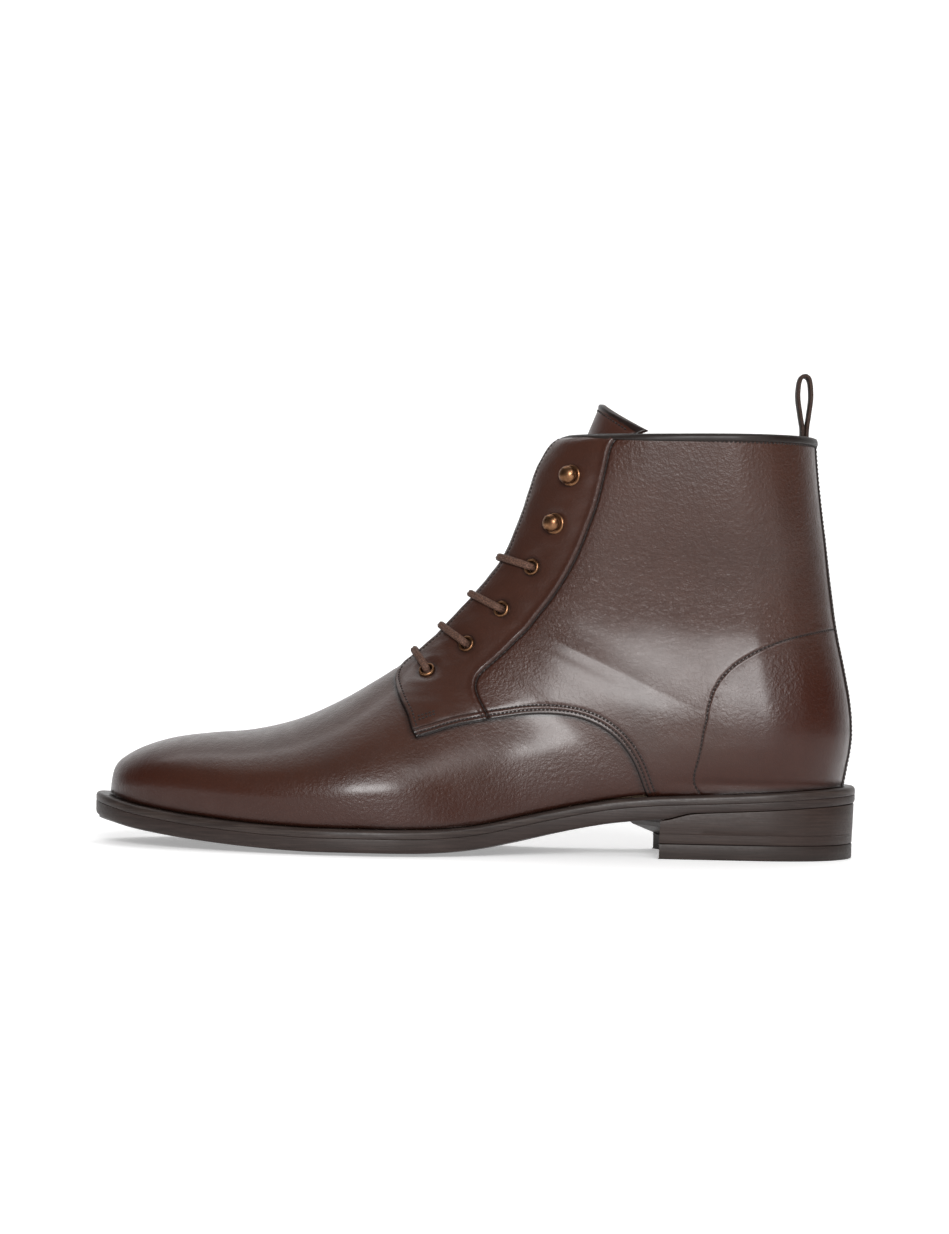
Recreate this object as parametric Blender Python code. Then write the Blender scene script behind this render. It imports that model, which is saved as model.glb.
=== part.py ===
"""Lace up ankle boot, left foot: hollow leather upper on a welted leather sole with a stacked heel.

Frame: +Z up, toe towards -X, heel towards +X, the outer (lateral) side towards -Y.
The origin is the centre of the bounding box's bottom face. Sizes below are in millimetres.
"""

import math

import bmesh
import bpy
import numpy as np
from mathutils import Vector

MM = 0.001

# ---------------------------------------------------------------- driving sizes
SOLE_LENGTH = 304.0
TOE_X = -SOLE_LENGTH / 2
HEEL_X = SOLE_LENGTH / 2
WELT_THICK = 3.5
OUTSOLE_EDGE = 5.2
GAP = 0.3
SOLE_EDGE_THICK = WELT_THICK + GAP + OUTSOLE_EDGE
SOLE_CROWN = 1.4
WELT_BEVEL = 1.2
INSOLE_RISE = 3.0
FEATHER_TOE = 5.6
FEATHER_SIDE = 4.3
FEATHER_HEEL = 4.7
WALL = 2.2
BREAST_LATERAL_X = 73.0
BREAST_MEDIAL_X = 62.5
BREAST_HOLLOW = 9.0
TOP_PIECE_THICK = 6.0
EYELET_FLANGE_R = 3.2
EYELET_HOLE_R = 1.8
EYELET_BARREL_R = 2.3
EYELET_FLANGE_THICK = 0.8
STUD_BALL_R = 3.6
STUD_BASE_R = 4.2
LACE_R = 1.2
TONGUE_DEPTH = 8.0
TONGUE_THICK = 1.6
COLLAR_HEIGHT = 166.5
LOOP_WIDTH = 9.0
LOOP_THICK = 1.3
LOOP_RISE = 26.4

# Sole outline: distance from the toe tip, then how far the edge lies to each side of the axis.
# (from_toe, lateral, medial)
OUTLINE = [
    (0.0, -6.0, 6.0),
    (5.0, 12.0, 24.0),
    (12.0, 21.0, 33.0),
    (22.0, 29.0, 39.5),
    (40.0, 38.5, 46.5),
    (60.0, 46.5, 50.5),
    (80.0, 52.0, 52.3),
    (98.0, 55.0, 51.8),
    (115.0, 55.5, 48.0),
    (135.0, 52.0, 40.5),
    (160.0, 43.8, 30.0),
    (185.0, 37.3, 25.2),
    (205.0, 34.6, 26.0),
    (225.0, 34.3, 29.4),
    (250.0, 34.8, 33.2),
    (265.0, 34.6, 34.2),
    (280.0, 32.0, 32.2),
    (292.0, 25.4, 25.8),
    (299.0, 17.0, 17.4),
    (304.0, 0.0, 0.0),
]
SIDE_SHIFT = 1.6

# Height of the welt's top edge along the boot.
# (x, height)
WELT_TOP = [
    (-152.0, 20.4),
    (-144.0, 18.7),
    (-136.0, 16.9),
    (-125.0, 15.2),
    (-115.0, 13.9),
    (-104.0, 12.8),
    (-89.0, 11.6),
    (-75.0, 10.8),
    (-62.0, 10.4),
    (-43.0, 10.4),
    (-24.0, 10.4),
    (-12.0, 10.9),
    (-4.0, 11.6),
    (5.0, 12.9),
    (15.0, 15.0),
    (25.0, 17.2),
    (35.0, 19.3),
    (45.0, 21.2),
    (55.0, 22.8),
    (72.0, 24.4),
    (86.0, 25.1),
    (102.0, 25.9),
    (119.0, 26.9),
    (135.0, 28.0),
    (152.0, 29.0),
]
FLAT_FROM = -62.0
FLAT_TO = -24.0

# Back of the upper, from the feather line up to the collar.
# (height, x)
BACK = [
    (29.0, 147.3),
    (37.0, 148.6),
    (43.0, 149.6),
    (49.5, 150.1),
    (55.0, 149.9),
    (63.0, 149.0),
    (71.0, 147.5),
    (79.0, 145.8),
    (87.0, 144.0),
    (95.0, 142.5),
    (103.0, 141.3),
    (111.0, 140.1),
    (119.0, 139.0),
    (127.0, 137.9),
    (135.0, 136.7),
    (143.0, 135.6),
    (151.0, 134.6),
    (159.0, 133.8),
    (166.5, 133.2),
]

# Sections of the last, each in a plane through the Y axis direction. The lower end lies on the
# feather line at feather (0 toe, 1 heel) or, past 1, at a height on the back. The upper end
# (ridge_x, ridge_z) lies on the front line of vamp and throat. half_lat and half_med are the
# widest half breadths from the axis, at the fraction wide_at of the way up.
# (feather, back_z, ridge_x, ridge_z, half_lat, half_med, wide_at, low_n, top_lat_n, top_med_n)
SECTIONS = [
    (0.00, 0.0, -146.2, 23.6, -6.0, 6.0, 0.30, 2.0, 2.1, 2.1),
    (0.05, 0.0, -144.3, 30.6, 5.0, 17.0, 0.30, 2.0, 2.1, 2.1),
    (0.10, 0.0, -139.5, 35.1, 15.3, 27.4, 0.30, 2.0, 2.15, 2.15),
    (0.15, 0.0, -131.0, 39.3, 24.2, 35.6, 0.30, 2.0, 2.15, 2.15),
    (0.20, 0.0, -119.5, 42.6, 31.8, 41.4, 0.30, 2.0, 2.1, 2.15),
    (0.25, 0.0, -105.5, 44.6, 38.8, 45.9, 0.30, 2.0, 2.0, 2.15),
    (0.30, 0.0, -88.5, 46.4, 45.3, 48.8, 0.29, 2.0, 1.92, 2.1),
    (0.35, 0.0, -70.5, 51.2, 50.3, 50.1, 0.27, 2.0, 1.85, 2.05),
    (0.40, 0.0, -54.0, 58.8, 52.7, 48.4, 0.25, 2.0, 1.78, 1.95),
    (0.45, 0.0, -40.3, 67.2, 50.7, 41.2, 0.24, 2.0, 1.74, 1.88),
    (0.50, 0.0, -29.0, 75.6, 43.8, 33.6, 0.25, 2.0, 1.74, 1.85),
    (0.55, 0.0, -23.6, 80.6, 37.6, 30.2, 0.27, 2.0, 1.78, 1.85),
    (0.60, 0.0, -19.6, 84.4, 34.6, 30.0, 0.29, 2.0, 1.84, 1.88),
    (0.65, 0.0, -16.4, 87.6, 33.6, 31.2, 0.31, 2.0, 1.9, 1.92),
    (0.70, 0.0, -13.9, 90.3, 33.8, 32.4, 0.33, 1.95, 1.96, 1.96),
    (0.75, 0.0, -11.8, 92.6, 33.95, 33.1, 0.35, 1.9, 2.0, 2.0),
    (0.80, 0.0, -10.0, 94.7, 34.0, 33.5, 0.37, 1.8, 2.03, 2.03),
    (0.85, 0.0, -8.4, 96.5, 33.97, 33.65, 0.38, 1.75, 2.06, 2.06),
    (0.90, 0.0, -6.9, 98.2, 33.92, 33.62, 0.38, 1.85, 2.08, 2.08),
    (0.95, 0.0, -5.4, 99.9, 33.87, 33.58, 0.38, 2.2, 2.1, 2.1),
    (1.00, 29.0, -3.9, 101.6, 33.82, 33.54, 0.38, 2.5, 2.12, 2.12),
    (1.00, 42.0, -1.2, 104.8, 33.7, 33.4, 0.39, 2.5, 2.14, 2.14),
    (1.00, 56.0, 2.2, 108.9, 33.5, 33.3, 0.40, 2.45, 2.15, 2.15),
    (1.00, 71.0, 6.2, 114.2, 33.4, 33.2, 0.42, 2.4, 2.15, 2.15),
    (1.00, 86.0, 10.0, 120.8, 33.6, 33.4, 0.44, 2.35, 2.15, 2.15),
    (1.00, 101.0, 13.2, 128.7, 34.2, 34.0, 0.46, 2.3, 2.15, 2.15),
    (1.00, 116.0, 16.2, 137.0, 35.0, 34.8, 0.48, 2.3, 2.15, 2.15),
    (1.00, 130.0, 18.8, 145.6, 35.9, 35.7, 0.49, 2.3, 2.15, 2.15),
    (1.00, 143.0, 21.4, 153.2, 36.8, 36.6, 0.50, 2.3, 2.15, 2.15),
    (1.00, 154.0, 25.0, 160.0, 37.5, 37.3, 0.50, 2.3, 2.15, 2.15),
    (1.00, 162.0, 28.4, 163.6, 37.9, 37.7, 0.50, 2.3, 2.15, 2.15),
    (1.00, 166.5, 33.4, 165.2, 38.0, 37.8, 0.50, 2.3, 2.15, 2.15),
]
THROAT_ROW = 10.0
LAST_ROW = float(len(SECTIONS) - 1)

# Half width of the open throat. (row, half_gap)
THROAT = [
    (0.0, 5.0),
    (10.0, 5.0),
    (16.0, 5.6),
    (22.0, 6.4),
    (27.0, 7.4),
    (31.0, 8.6),
]

# Eyelets and studs of one facing, bottom to top, as seen from the side. (x, z)
EYELETS = [(-20.0, 71.6), (-4.5, 82.3), (9.1, 96.4), (20.6, 113.3)]
STUDS = [(29.2, 130.6), (35.3, 149.5)]

LEATHER = ("upper_leather", (0.080, 0.036, 0.024), 0.38, 0.0)
TONGUE_LEATHER = ("tongue_leather", (0.060, 0.027, 0.019), 0.42, 0.0)
EDGE_LEATHER = ("edge_leather", (0.045, 0.029, 0.024), 0.45, 0.0)
LINING = ("insole_leather", (0.32, 0.22, 0.14), 0.6, 0.0)
RUBBER = ("top_piece_rubber", (0.026, 0.020, 0.018), 0.6, 0.0)
BRASS = ("antique_brass", (0.30, 0.145, 0.060), 0.38, 1.0)
CORD = ("lace_cord", (0.075, 0.042, 0.030), 0.75, 0.0)
WEB = ("loop_leather", (0.034, 0.016, 0.012), 0.5, 0.0)


# ---------------------------------------------------------------- curves
def cubic(xs, ys, x):
    """Smooth curve through (xs, ys): cubic Hermite with limited slopes."""
    xs = np.asarray(xs, float)
    ys = np.asarray(ys, float)
    step = np.diff(xs)
    rise = np.diff(ys) / step
    slope = np.zeros(len(xs))
    for i in range(1, len(xs) - 1):
        a, b = rise[i - 1], rise[i]
        if a * b > 0:
            w1 = 2 * step[i] + step[i - 1]
            w2 = step[i] + 2 * step[i - 1]
            slope[i] = (w1 + w2) / (w1 / a + w2 / b)
    slope[0] = rise[0]
    slope[-1] = rise[-1]
    x = min(max(x, xs[0]), xs[-1])
    i = min(int(np.searchsorted(xs, x, side="right")) - 1, len(xs) - 2)
    h = step[i]
    t = (x - xs[i]) / h
    return float(
        (1 + 2 * t) * (1 - t) ** 2 * ys[i]
        + t * (1 - t) ** 2 * h * slope[i]
        + t * t * (3 - 2 * t) * ys[i + 1]
        + t * t * (t - 1) * h * slope[i + 1]
    )


def smooth(rows, column, s):
    """Catmull-Rom value of one column at a fractional row."""
    n = len(rows)
    i = min(max(int(math.floor(s)), 0), n - 2)
    t = s - i
    p1, p2 = rows[i][column], rows[i + 1][column]
    p0 = rows[i - 1][column] if i > 0 else 2 * p1 - p2
    p3 = rows[i + 2][column] if i + 2 < n else 2 * p2 - p1
    return 0.5 * (
        2 * p1
        + (p2 - p0) * t
        + (2 * p0 - 5 * p1 + 4 * p2 - p3) * t * t
        + (3 * p1 - p0 - 3 * p2 + p3) * t**3
    )


OUTLINE_T = [math.acos(1 - 2 * row[0] / SOLE_LENGTH) / math.pi for row in OUTLINE]


def sole_edge(t, toe_in=0.0, side_in=0.0, heel_in=0.0):
    """(x, lateral y, medial y) of the sole outline at t (0 toe tip, 1 heel end), moved inwards."""
    x = TOE_X + toe_in + (SOLE_LENGTH - toe_in - heel_in) * (1 - math.cos(math.pi * t)) / 2
    lateral = cubic(OUTLINE_T, [row[1] for row in OUTLINE], t)
    medial = cubic(OUTLINE_T, [row[2] for row in OUTLINE], t)
    inner = side_in * math.sin(math.pi * t)
    return x, SIDE_SHIFT - lateral + inner, SIDE_SHIFT + medial - inner


def feather(t, inset=0.0):
    return sole_edge(t, FEATHER_TOE + inset, FEATHER_SIDE + inset, FEATHER_HEEL + inset)


def welt_top(x):
    return cubic([row[0] for row in WELT_TOP], [row[1] for row in WELT_TOP], x)


def back_x(z):
    return cubic([row[0] for row in BACK], [row[1] for row in BACK], z)


def sole_thick(x):
    """Edge thickness of welt and outsole together: thinner over the heel than at the waist."""
    s = min(max((x - BREAST_LATERAL_X) / 13.0, 0.0), 1.0)
    return SOLE_EDGE_THICK - 2.2 * s * s * (3 - 2 * s)


# ---------------------------------------------------------------- the last
def frame_of(s, inset):
    """Lower end, upper end, lateral and medial data of the section at row s, moved in by inset."""
    f = min(max(smooth(SECTIONS, 0, s), 0.0), 1.0)
    if s >= 20.0:
        f = 1.0
    x, lat, med = feather(f, inset)
    centre = (lat + med) / 2
    z = welt_top(x) + GAP
    if f >= 1.0 and s >= 20.0:
        z = max(smooth(SECTIONS, 1, s), welt_top(x) + GAP) if s > 20.0 else z
        x = back_x(z) - inset
        lat = med = centre = SIDE_SHIFT
    rx, rz = smooth(SECTIONS, 2, s), smooth(SECTIONS, 3, s)
    if inset:
        e = 0.05
        a = (smooth(SECTIONS, 2, max(s - e, 0)), smooth(SECTIONS, 3, max(s - e, 0)))
        b = (smooth(SECTIONS, 2, min(s + e, LAST_ROW)), smooth(SECTIONS, 3, min(s + e, LAST_ROW)))
        tx, tz = b[0] - a[0], b[1] - a[1]
        long = math.hypot(tx, tz)
        nx, nz = tz / long, -tx / long
        if s > 27.0:
            k = (s - 27.0) / (LAST_ROW - 27.0)
            nx, nz = nx * (1 - k) + k, nz * (1 - k)
            long = math.hypot(nx, nz)
            nx, nz = nx / long, nz / long
        rx, rz = rx + nx * inset, rz + nz * inset
    return f, Vector((x, centre, z)), Vector((rx, 0.0, rz)), lat, med


def ridge_y(s):
    """Sideways place of the ridge: it follows the toe's inward swing and straightens at the throat."""
    x, lat, med = feather(min(max(smooth(SECTIONS, 0, s), 0.0), 1.0) if s < 20 else 1.0)
    k = min(max((s - 4.0) / 6.0, 0.0), 1.0)
    k = k * k * (3 - 2 * k)
    return (lat + med) / 2 * (1 - k) + (SIDE_SHIFT - 0.8) * k


def half_data(s, side, inset):
    """(foot y, widest y, ridge y, wide_at, low_n, top_n) of one half of the section at row s."""
    f, low, top, lat, med = frame_of(s, inset)
    sign = -1.0 if side < 0 else 1.0
    foot = lat if side < 0 else med
    middle = ridge_y(s)
    half = smooth(SECTIONS, 4 if side < 0 else 5, s)
    end = math.sin(math.pi * min(max(smooth(SECTIONS, 0, s), 0.0), 0.5))
    wide = SIDE_SHIFT + sign * (half - inset * end)
    return foot, wide, middle, smooth(SECTIONS, 6, s), smooth(SECTIONS, 7, s), smooth(SECTIONS, 8 if side < 0 else 9, s)


def skin(s, side, a, inset=0.0):
    """Point of the last's surface: row s, side -1 lateral or 1 medial, a 0 at the foot, 1 at the ridge."""
    f, low, top, lat, med = frame_of(s, inset)
    foot, wide, middle, wide_at, low_n, top_n = half_data(s, side, inset)
    split = 0.36
    if a <= split:
        phi = a / split * math.pi / 2
        y = foot + (wide - foot) * math.sin(phi) ** (2 / low_n)
        u = wide_at * (1 - max(math.cos(phi), 0.0) ** (2 / low_n))
    else:
        psi = (a - split) / (1 - split) * math.pi / 2
        y = middle + (wide - middle) * max(math.cos(psi), 0.0) ** (2 / top_n)
        u = wide_at + (1 - wide_at) * math.sin(psi) ** (2 / top_n)
    return Vector((low.x + (top.x - low.x) * u, y, low.z + (top.z - low.z) * u))


def outward(s, side, a):
    """Unit normal of the outer surface."""
    e, g = 0.04, 0.01
    p = skin(min(s + e, LAST_ROW), side, a) - skin(max(s - e, 0.0), side, a)
    q = skin(s, side, min(a + g, 1.0)) - skin(s, side, max(a - g, 0.0))
    n = p.cross(q)
    n.normalize()
    middle = (skin(s, -1, 0.5) + skin(s, 1, 0.5)) / 2
    if n.dot(skin(s, side, a) - middle) < 0:
        n = -n
    return n


def level(s, side, half_gap):
    """The value of a where the surface lies half_gap from the ridge line."""
    foot, wide, middle, wide_at, low_n, top_n = half_data(s, side, 0.0)
    reach = abs(wide - middle)
    k = min(half_gap / max(reach, 1e-6), 0.30)
    psi = math.acos(k ** (top_n / 2))
    return 0.36 + 0.64 * psi / (math.pi / 2)


def throat_half(s):
    return cubic([row[0] for row in THROAT], [row[1] for row in THROAT], s)


def find(x, z, side):
    """(s, a) of the surface point seen from the side at x, z."""
    best = None
    for i in range(0, 45):
        s = 9.0 + i * 0.5
        for j in range(14):
            a = 0.55 + 0.033 * j
            p = skin(s, side, a)
            d = (p.x - x) ** 2 + (p.z - z) ** 2
            if best is None or d < best[0]:
                best = (d, s, a)
    d, s, a = best
    step = 0.25
    while step > 0.002:
        moved = False
        for ds, da in ((step, 0), (-step, 0), (0, step / 4), (0, -step / 4)):
            s2 = min(max(s + ds, 0.0), LAST_ROW)
            a2 = min(max(a + da, 0.0), 1.0)
            p = skin(s2, side, a2)
            d2 = (p.x - x) ** 2 + (p.z - z) ** 2
            if d2 < d:
                d, s, a, moved = d2, s2, a2, True
        if not moved:
            step /= 2
    return s, a


# ---------------------------------------------------------------- building
def clear():
    for obj in list(bpy.data.objects):
        bpy.data.objects.remove(obj, do_unlink=True)


def material(spec):
    name, colour, rough, metal = spec
    found = bpy.data.materials.get(name)
    if found:
        return found
    made = bpy.data.materials.new(name)
    made.use_nodes = True
    shader = next(n for n in made.node_tree.nodes if n.type == "BSDF_PRINCIPLED")
    shader.inputs["Base Color"].default_value = (*colour, 1.0)
    shader.inputs["Roughness"].default_value = rough
    shader.inputs["Metallic"].default_value = metal
    made.diffuse_color = (*colour, 1.0)
    return made


def solid(name, points, faces, spec, round_piece=True, weld=1e-6):
    """One closed mesh object from points in millimetres."""
    mesh = bpy.data.meshes.new(name)
    bm = bmesh.new()
    verts = [bm.verts.new((p[0] * MM, p[1] * MM, p[2] * MM)) for p in points]
    for face in faces:
        ring = []
        for index in face:
            if not ring or verts[index] is not ring[-1]:
                ring.append(verts[index])
        if len(ring) >= 3 and len(set(ring)) == len(ring):
            bm.faces.new(ring)
    bmesh.ops.remove_doubles(bm, verts=bm.verts, dist=weld)
    bmesh.ops.dissolve_degenerate(bm, edges=bm.edges, dist=weld)
    bmesh.ops.triangulate(bm, faces=bm.faces)
    bmesh.ops.recalc_face_normals(bm, faces=bm.faces)
    bm.to_mesh(mesh)
    bm.free()
    obj = bpy.data.objects.new(name, mesh)
    bpy.context.scene.collection.objects.link(obj)
    mesh.materials.append(material(spec))
    if round_piece:
        for poly in mesh.polygons:
            poly.use_smooth = True
    return obj


def stations(count):
    return [i / (count - 1) for i in range(count)]


def plate(name, edge, top, bottom, spec, rows, cols, chamfer=0.0):
    """A sole layer: edge(t) gives x and both sides, top and bottom give heights at x and across -1..1."""
    points, faces = [], []
    across = [math.sin(math.pi / 2 * (2 * j / (cols - 1) - 1)) for j in range(cols)]

    def grid(height, shrink):
        start = len(points)
        for t in stations(rows):
            x, lat, med = edge(t)
            for q in across:
                y = (lat + med) / 2 + (med - lat) / 2 * q
                px, py = x, y
                if shrink and (abs(q) > 0.999 or t in (0.0, 1.0)):
                    cx = x * (1 - shrink / 152)
                    px = cx
                    py = (lat + med) / 2 + ((med - lat) / 2 - shrink * math.sin(math.pi * t)) * q
                points.append((px, py, height(px, 1.0 if t in (0.0, 1.0) else q)))
        return start

    a = grid(top, 0.0)
    b = grid(bottom, chamfer)
    for i in range(rows - 1):
        for j in range(cols - 1):
            k = i * cols + j
            faces.append((a + k, a + k + 1, a + k + cols + 1, a + k + cols))
            faces.append((b + k, b + k + cols, b + k + cols + 1, b + k + 1))
        for j in (0, cols - 1):
            k = i * cols + j
            faces.append((a + k, a + k + cols, b + k + cols, b + k))
    for i in (0, rows - 1):
        for j in range(cols - 1):
            k = i * cols + j
            faces.append((a + k, a + k + 1, b + k + 1, b + k))
    return solid(name, points, faces, spec)


def outline_ring(edge, count):
    """Points once round the outline: lateral side toe to heel, then medial side back to the toe."""
    ring = []
    for i in range(count):
        ring.append((edge(i / count), 0))
    for i in range(count):
        ring.append((edge(1 - i / count), 1))
    return [(e[0], e[1] if side == 0 else e[2]) for e, side in ring]


def build_outsole():
    def top(x, q):
        return welt_top(x) - WELT_THICK - GAP

    def bottom(x, q):
        crown = SOLE_CROWN * (1 - min(max((x - 20.0) / 45.0, 0.0), 1.0))
        lift = max((abs(q) - 0.40) / 0.60, 0.0) ** 2
        return welt_top(x) - sole_thick(x) - crown * (1 - lift)

    return plate("outsole", sole_edge, top, bottom, EDGE_LEATHER, 41, 9)


def build_welt():
    def outer(t):
        return sole_edge(t)

    def bevel(t):
        return sole_edge(t, WELT_BEVEL, WELT_BEVEL, WELT_BEVEL)

    def inner(t):
        return feather(t, WALL)

    count = 34
    rings = []
    for edge, drop in ((outer, WELT_THICK), (outer, WELT_BEVEL), (bevel, 0.0), (inner, 0.0), (inner, WELT_THICK)):
        rings.append([(x, y, welt_top(x) - drop) for x, y in outline_ring(edge, count)])
    points = [p for ring in rings for p in ring]
    n = count * 2
    faces = []
    for r in range(len(rings)):
        r2 = (r + 1) % len(rings)
        for i in range(n):
            j = (i + 1) % n
            faces.append((r * n + i, r * n + j, r2 * n + j, r2 * n + i))
    return solid("welt", points, faces, EDGE_LEATHER)


def build_insole():
    def edge(t):
        return feather(t, WALL + 1.6)

    def top(x, q):
        return welt_top(x) + INSOLE_RISE

    def bottom(x, q):
        return welt_top(x) - WELT_THICK

    return plate("insole", edge, top, bottom, LINING, 33, 5)


def heel_ring(z_share, inset, count_back=16, count_breast=8):
    """Heel outline at a height: round the back from the lateral corner, then across the hollow breast."""
    cut = max(0.0, min(1.0, (0.75 - z_share) / 0.5))
    medial_x = BREAST_MEDIAL_X + (BREAST_LATERAL_X + 1.0 - BREAST_MEDIAL_X) * cut
    lateral_x = BREAST_LATERAL_X

    def t_of(x):
        return math.acos(1 - 2 * (x - TOE_X) / SOLE_LENGTH) / math.pi

    ring = []
    t0 = t_of(lateral_x)
    for i in range(count_back):
        t = t0 + (1 - t0) * math.sin(math.pi / 2 * i / count_back)
        x, lat, med = sole_edge(t, 0.0, inset, inset)
        ring.append((x, lat))
    t1 = t_of(medial_x)
    for i in range(count_back + 1):
        t = t1 + (1 - t1) * math.cos(math.pi / 2 * i / count_back)
        x, lat, med = sole_edge(t, 0.0, inset, inset)
        ring.append((x, med))
    a, b = ring[-1], ring[0]
    for i in range(1, count_breast):
        k = i / count_breast
        x = a[0] + (b[0] - a[0]) * k
        y = a[1] + (b[1] - a[1]) * k
        ring.append((x + BREAST_HOLLOW * math.sin(math.pi * k) ** 0.9, y))
    return ring


def stack(name, levels, spec):
    """A heel layer from (height function or value, ring) levels, closed with ringed caps."""
    points, faces = [], []
    n = len(levels[0][1])
    for height, ring in levels:
        for x, y in ring:
            points.append((x, y, height(x) if callable(height) else height))
    for r in range(len(levels) - 1):
        for i in range(n):
            j = (i + 1) % n
            faces.append((r * n + i, r * n + j, (r + 1) * n + j, (r + 1) * n + i))
    for r in (0, len(levels) - 1):
        height, ring = levels[r]
        cx, cy = 112.0, SIDE_SHIFT
        before = [r * n + i for i in range(n)]
        for scale in (0.66, 0.3):
            start = len(points)
            for x, y in ring:
                px, py = cx + (x - cx) * scale, cy + (y - cy) * scale
                points.append((px, py, height(px) if callable(height) else height))
            for i in range(n):
                j = (i + 1) % n
                faces.append((before[i], before[j], start + j, start + i))
            before = [start + i for i in range(n)]
        points.append((cx, cy, height(cx) if callable(height) else height))
        for i in range(n):
            faces.append((before[i], before[(i + 1) % n], len(points) - 1))
    return solid(name, points, faces, spec)


def build_heel():
    def seat(x):
        return welt_top(x) - sole_thick(x) - GAP - 0.55 * (1 - min(max((x - 60.0) / 34.0, 0.0), 1.0))

    low = TOP_PIECE_THICK + GAP
    heel = stack(
        "heel_stack",
        [
            (low, heel_ring(0.22, 1.0)),
            (10.0, heel_ring(0.62, 0.8)),
            (12.0, heel_ring(0.80, 0.6)),
            (seat, heel_ring(1.0, 0.4)),
        ],
        EDGE_LEATHER,
    )
    piece = stack(
        "top_piece",
        [(0.0, heel_ring(0.0, 1.4)), (0.5, heel_ring(0.0, 0.9)), (TOP_PIECE_THICK, heel_ring(0.2, 0.9))],
        RUBBER,
    )
    return heel, piece


def rows_of_upper():
    rows = []
    s = 0.0
    while s < LAST_ROW - 1e-6:
        rows.append(s)
        s += 0.5 if s < 4 else (0.75 if s < 10 else 1.0)
        if rows[-1] < THROAT_ROW < s:
            s = THROAT_ROW
    rows.append(LAST_ROW)
    return rows


def section_loop(s, inset, columns):
    """Lateral foot, over the ridge, to the medial foot."""
    loop = []
    gap = throat_half(s)
    for side in (-1, 1):
        top = level(s, side, gap)
        half = []
        for j in range(columns + 1):
            k = (j / columns) ** 1.2
            half.append(skin(s, side, top * k, inset))
        if side < 0:
            loop = half + [skin(s, -1, 1.0, inset)]
        else:
            loop += half[::-1]
    return loop


def build_upper():
    columns = 12
    rows = rows_of_upper()
    wide = 2 * columns + 3
    points = []
    for inset in (0.0, WALL):
        for s in rows:
            points.extend(section_loop(s, inset, columns))
    total = len(rows) * wide
    first_open = next(i for i, s in enumerate(rows) if s >= THROAT_ROW - 1e-6)
    closed_from = next(i for i, s in enumerate(rows) if s >= 20.0 - 1e-6)
    faces = []

    def quad(a, b, c, d):
        faces.append((a, b, c, d))

    for i in range(len(rows) - 1):
        for j in range(wide - 1):
            if i >= first_open and j in (columns, columns + 1):
                continue
            k = i * wide + j
            quad(k, k + 1, k + wide + 1, k + wide)
            k += total
            quad(k, k + wide, k + wide + 1, k + 1)
    for i in range(closed_from):
        for j in (0, wide - 1):
            k = i * wide + j
            quad(k, k + wide, k + wide + total, k + total)
    for i in range(first_open, len(rows) - 1):
        for j in (columns, columns + 2):
            k = i * wide + j
            quad(k, k + wide, k + wide + total, k + total)
    for j in (columns, columns + 1):
        k = first_open * wide + j
        quad(k, k + 1, k + 1 + total, k + total)
    for j in range(wide - 1):
        if j in (columns, columns + 1):
            continue
        k = (len(rows) - 1) * wide + j
        quad(k, k + 1, k + 1 + total, k + total)
    return solid("upper", points, faces, LEATHER, weld=2e-6)


def cylinder_between(name, a, b, radius, count=12):
    axis = (b - a).normalized()
    side = axis.orthogonal().normalized()
    other = axis.cross(side)
    points, faces = [], []
    for centre in (a, b):
        for i in range(count):
            w = 2 * math.pi * i / count
            points.append(centre + (side * math.cos(w) + other * math.sin(w)) * radius)
    for i in range(count):
        j = (i + 1) % count
        faces.append((i, j, count + j, count + i))
    faces.append(tuple(range(count)))
    faces.append(tuple(range(count, 2 * count)))
    return solid(name, points, faces, EDGE_LEATHER)


def turned(name, base, axis, profile, spec, count=16, closed_ring=False):
    """Revolve (radius, height) pairs about axis from base."""
    side = axis.orthogonal().normalized()
    other = axis.cross(side)
    points, faces = [], []
    for radius, height in profile:
        for i in range(count):
            w = 2 * math.pi * i / count
            points.append(base + axis * height + (side * math.cos(w) + other * math.sin(w)) * radius)
    n = len(profile)
    last = n if closed_ring else n - 1
    for r in range(last):
        r2 = (r + 1) % n
        for i in range(count):
            j = (i + 1) % count
            faces.append((r * count + i, r * count + j, r2 * count + j, r2 * count + i))
    if not closed_ring:
        faces.append(tuple(range(count)))
        faces.append(tuple((n - 1) * count + i for i in range(count)))
    return solid(name, points, faces, spec)


EYELET_RING = [
    (EYELET_HOLE_R, -2.6),
    (EYELET_BARREL_R, -2.6),
    (EYELET_BARREL_R, GAP),
    (EYELET_FLANGE_R, GAP),
    (EYELET_FLANGE_R - 0.2, GAP + 0.5),
    (EYELET_BARREL_R + 0.1, GAP + EYELET_FLANGE_THICK),
    (EYELET_HOLE_R, GAP + 0.4),
]

STUD_PROFILE = [
    (STUD_BASE_R, GAP),
    (STUD_BASE_R, GAP + 0.5),
    (STUD_BASE_R - 1.0, GAP + 0.9),
    (1.8, GAP + 1.0),
    (1.8, GAP + 1.4),
    (2.9, GAP + 1.8),
    (STUD_BALL_R, GAP + 2.9),
    (3.3, GAP + 4.0),
    (2.2, GAP + 4.9),
    (0.9, GAP + 5.3),
]


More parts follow.
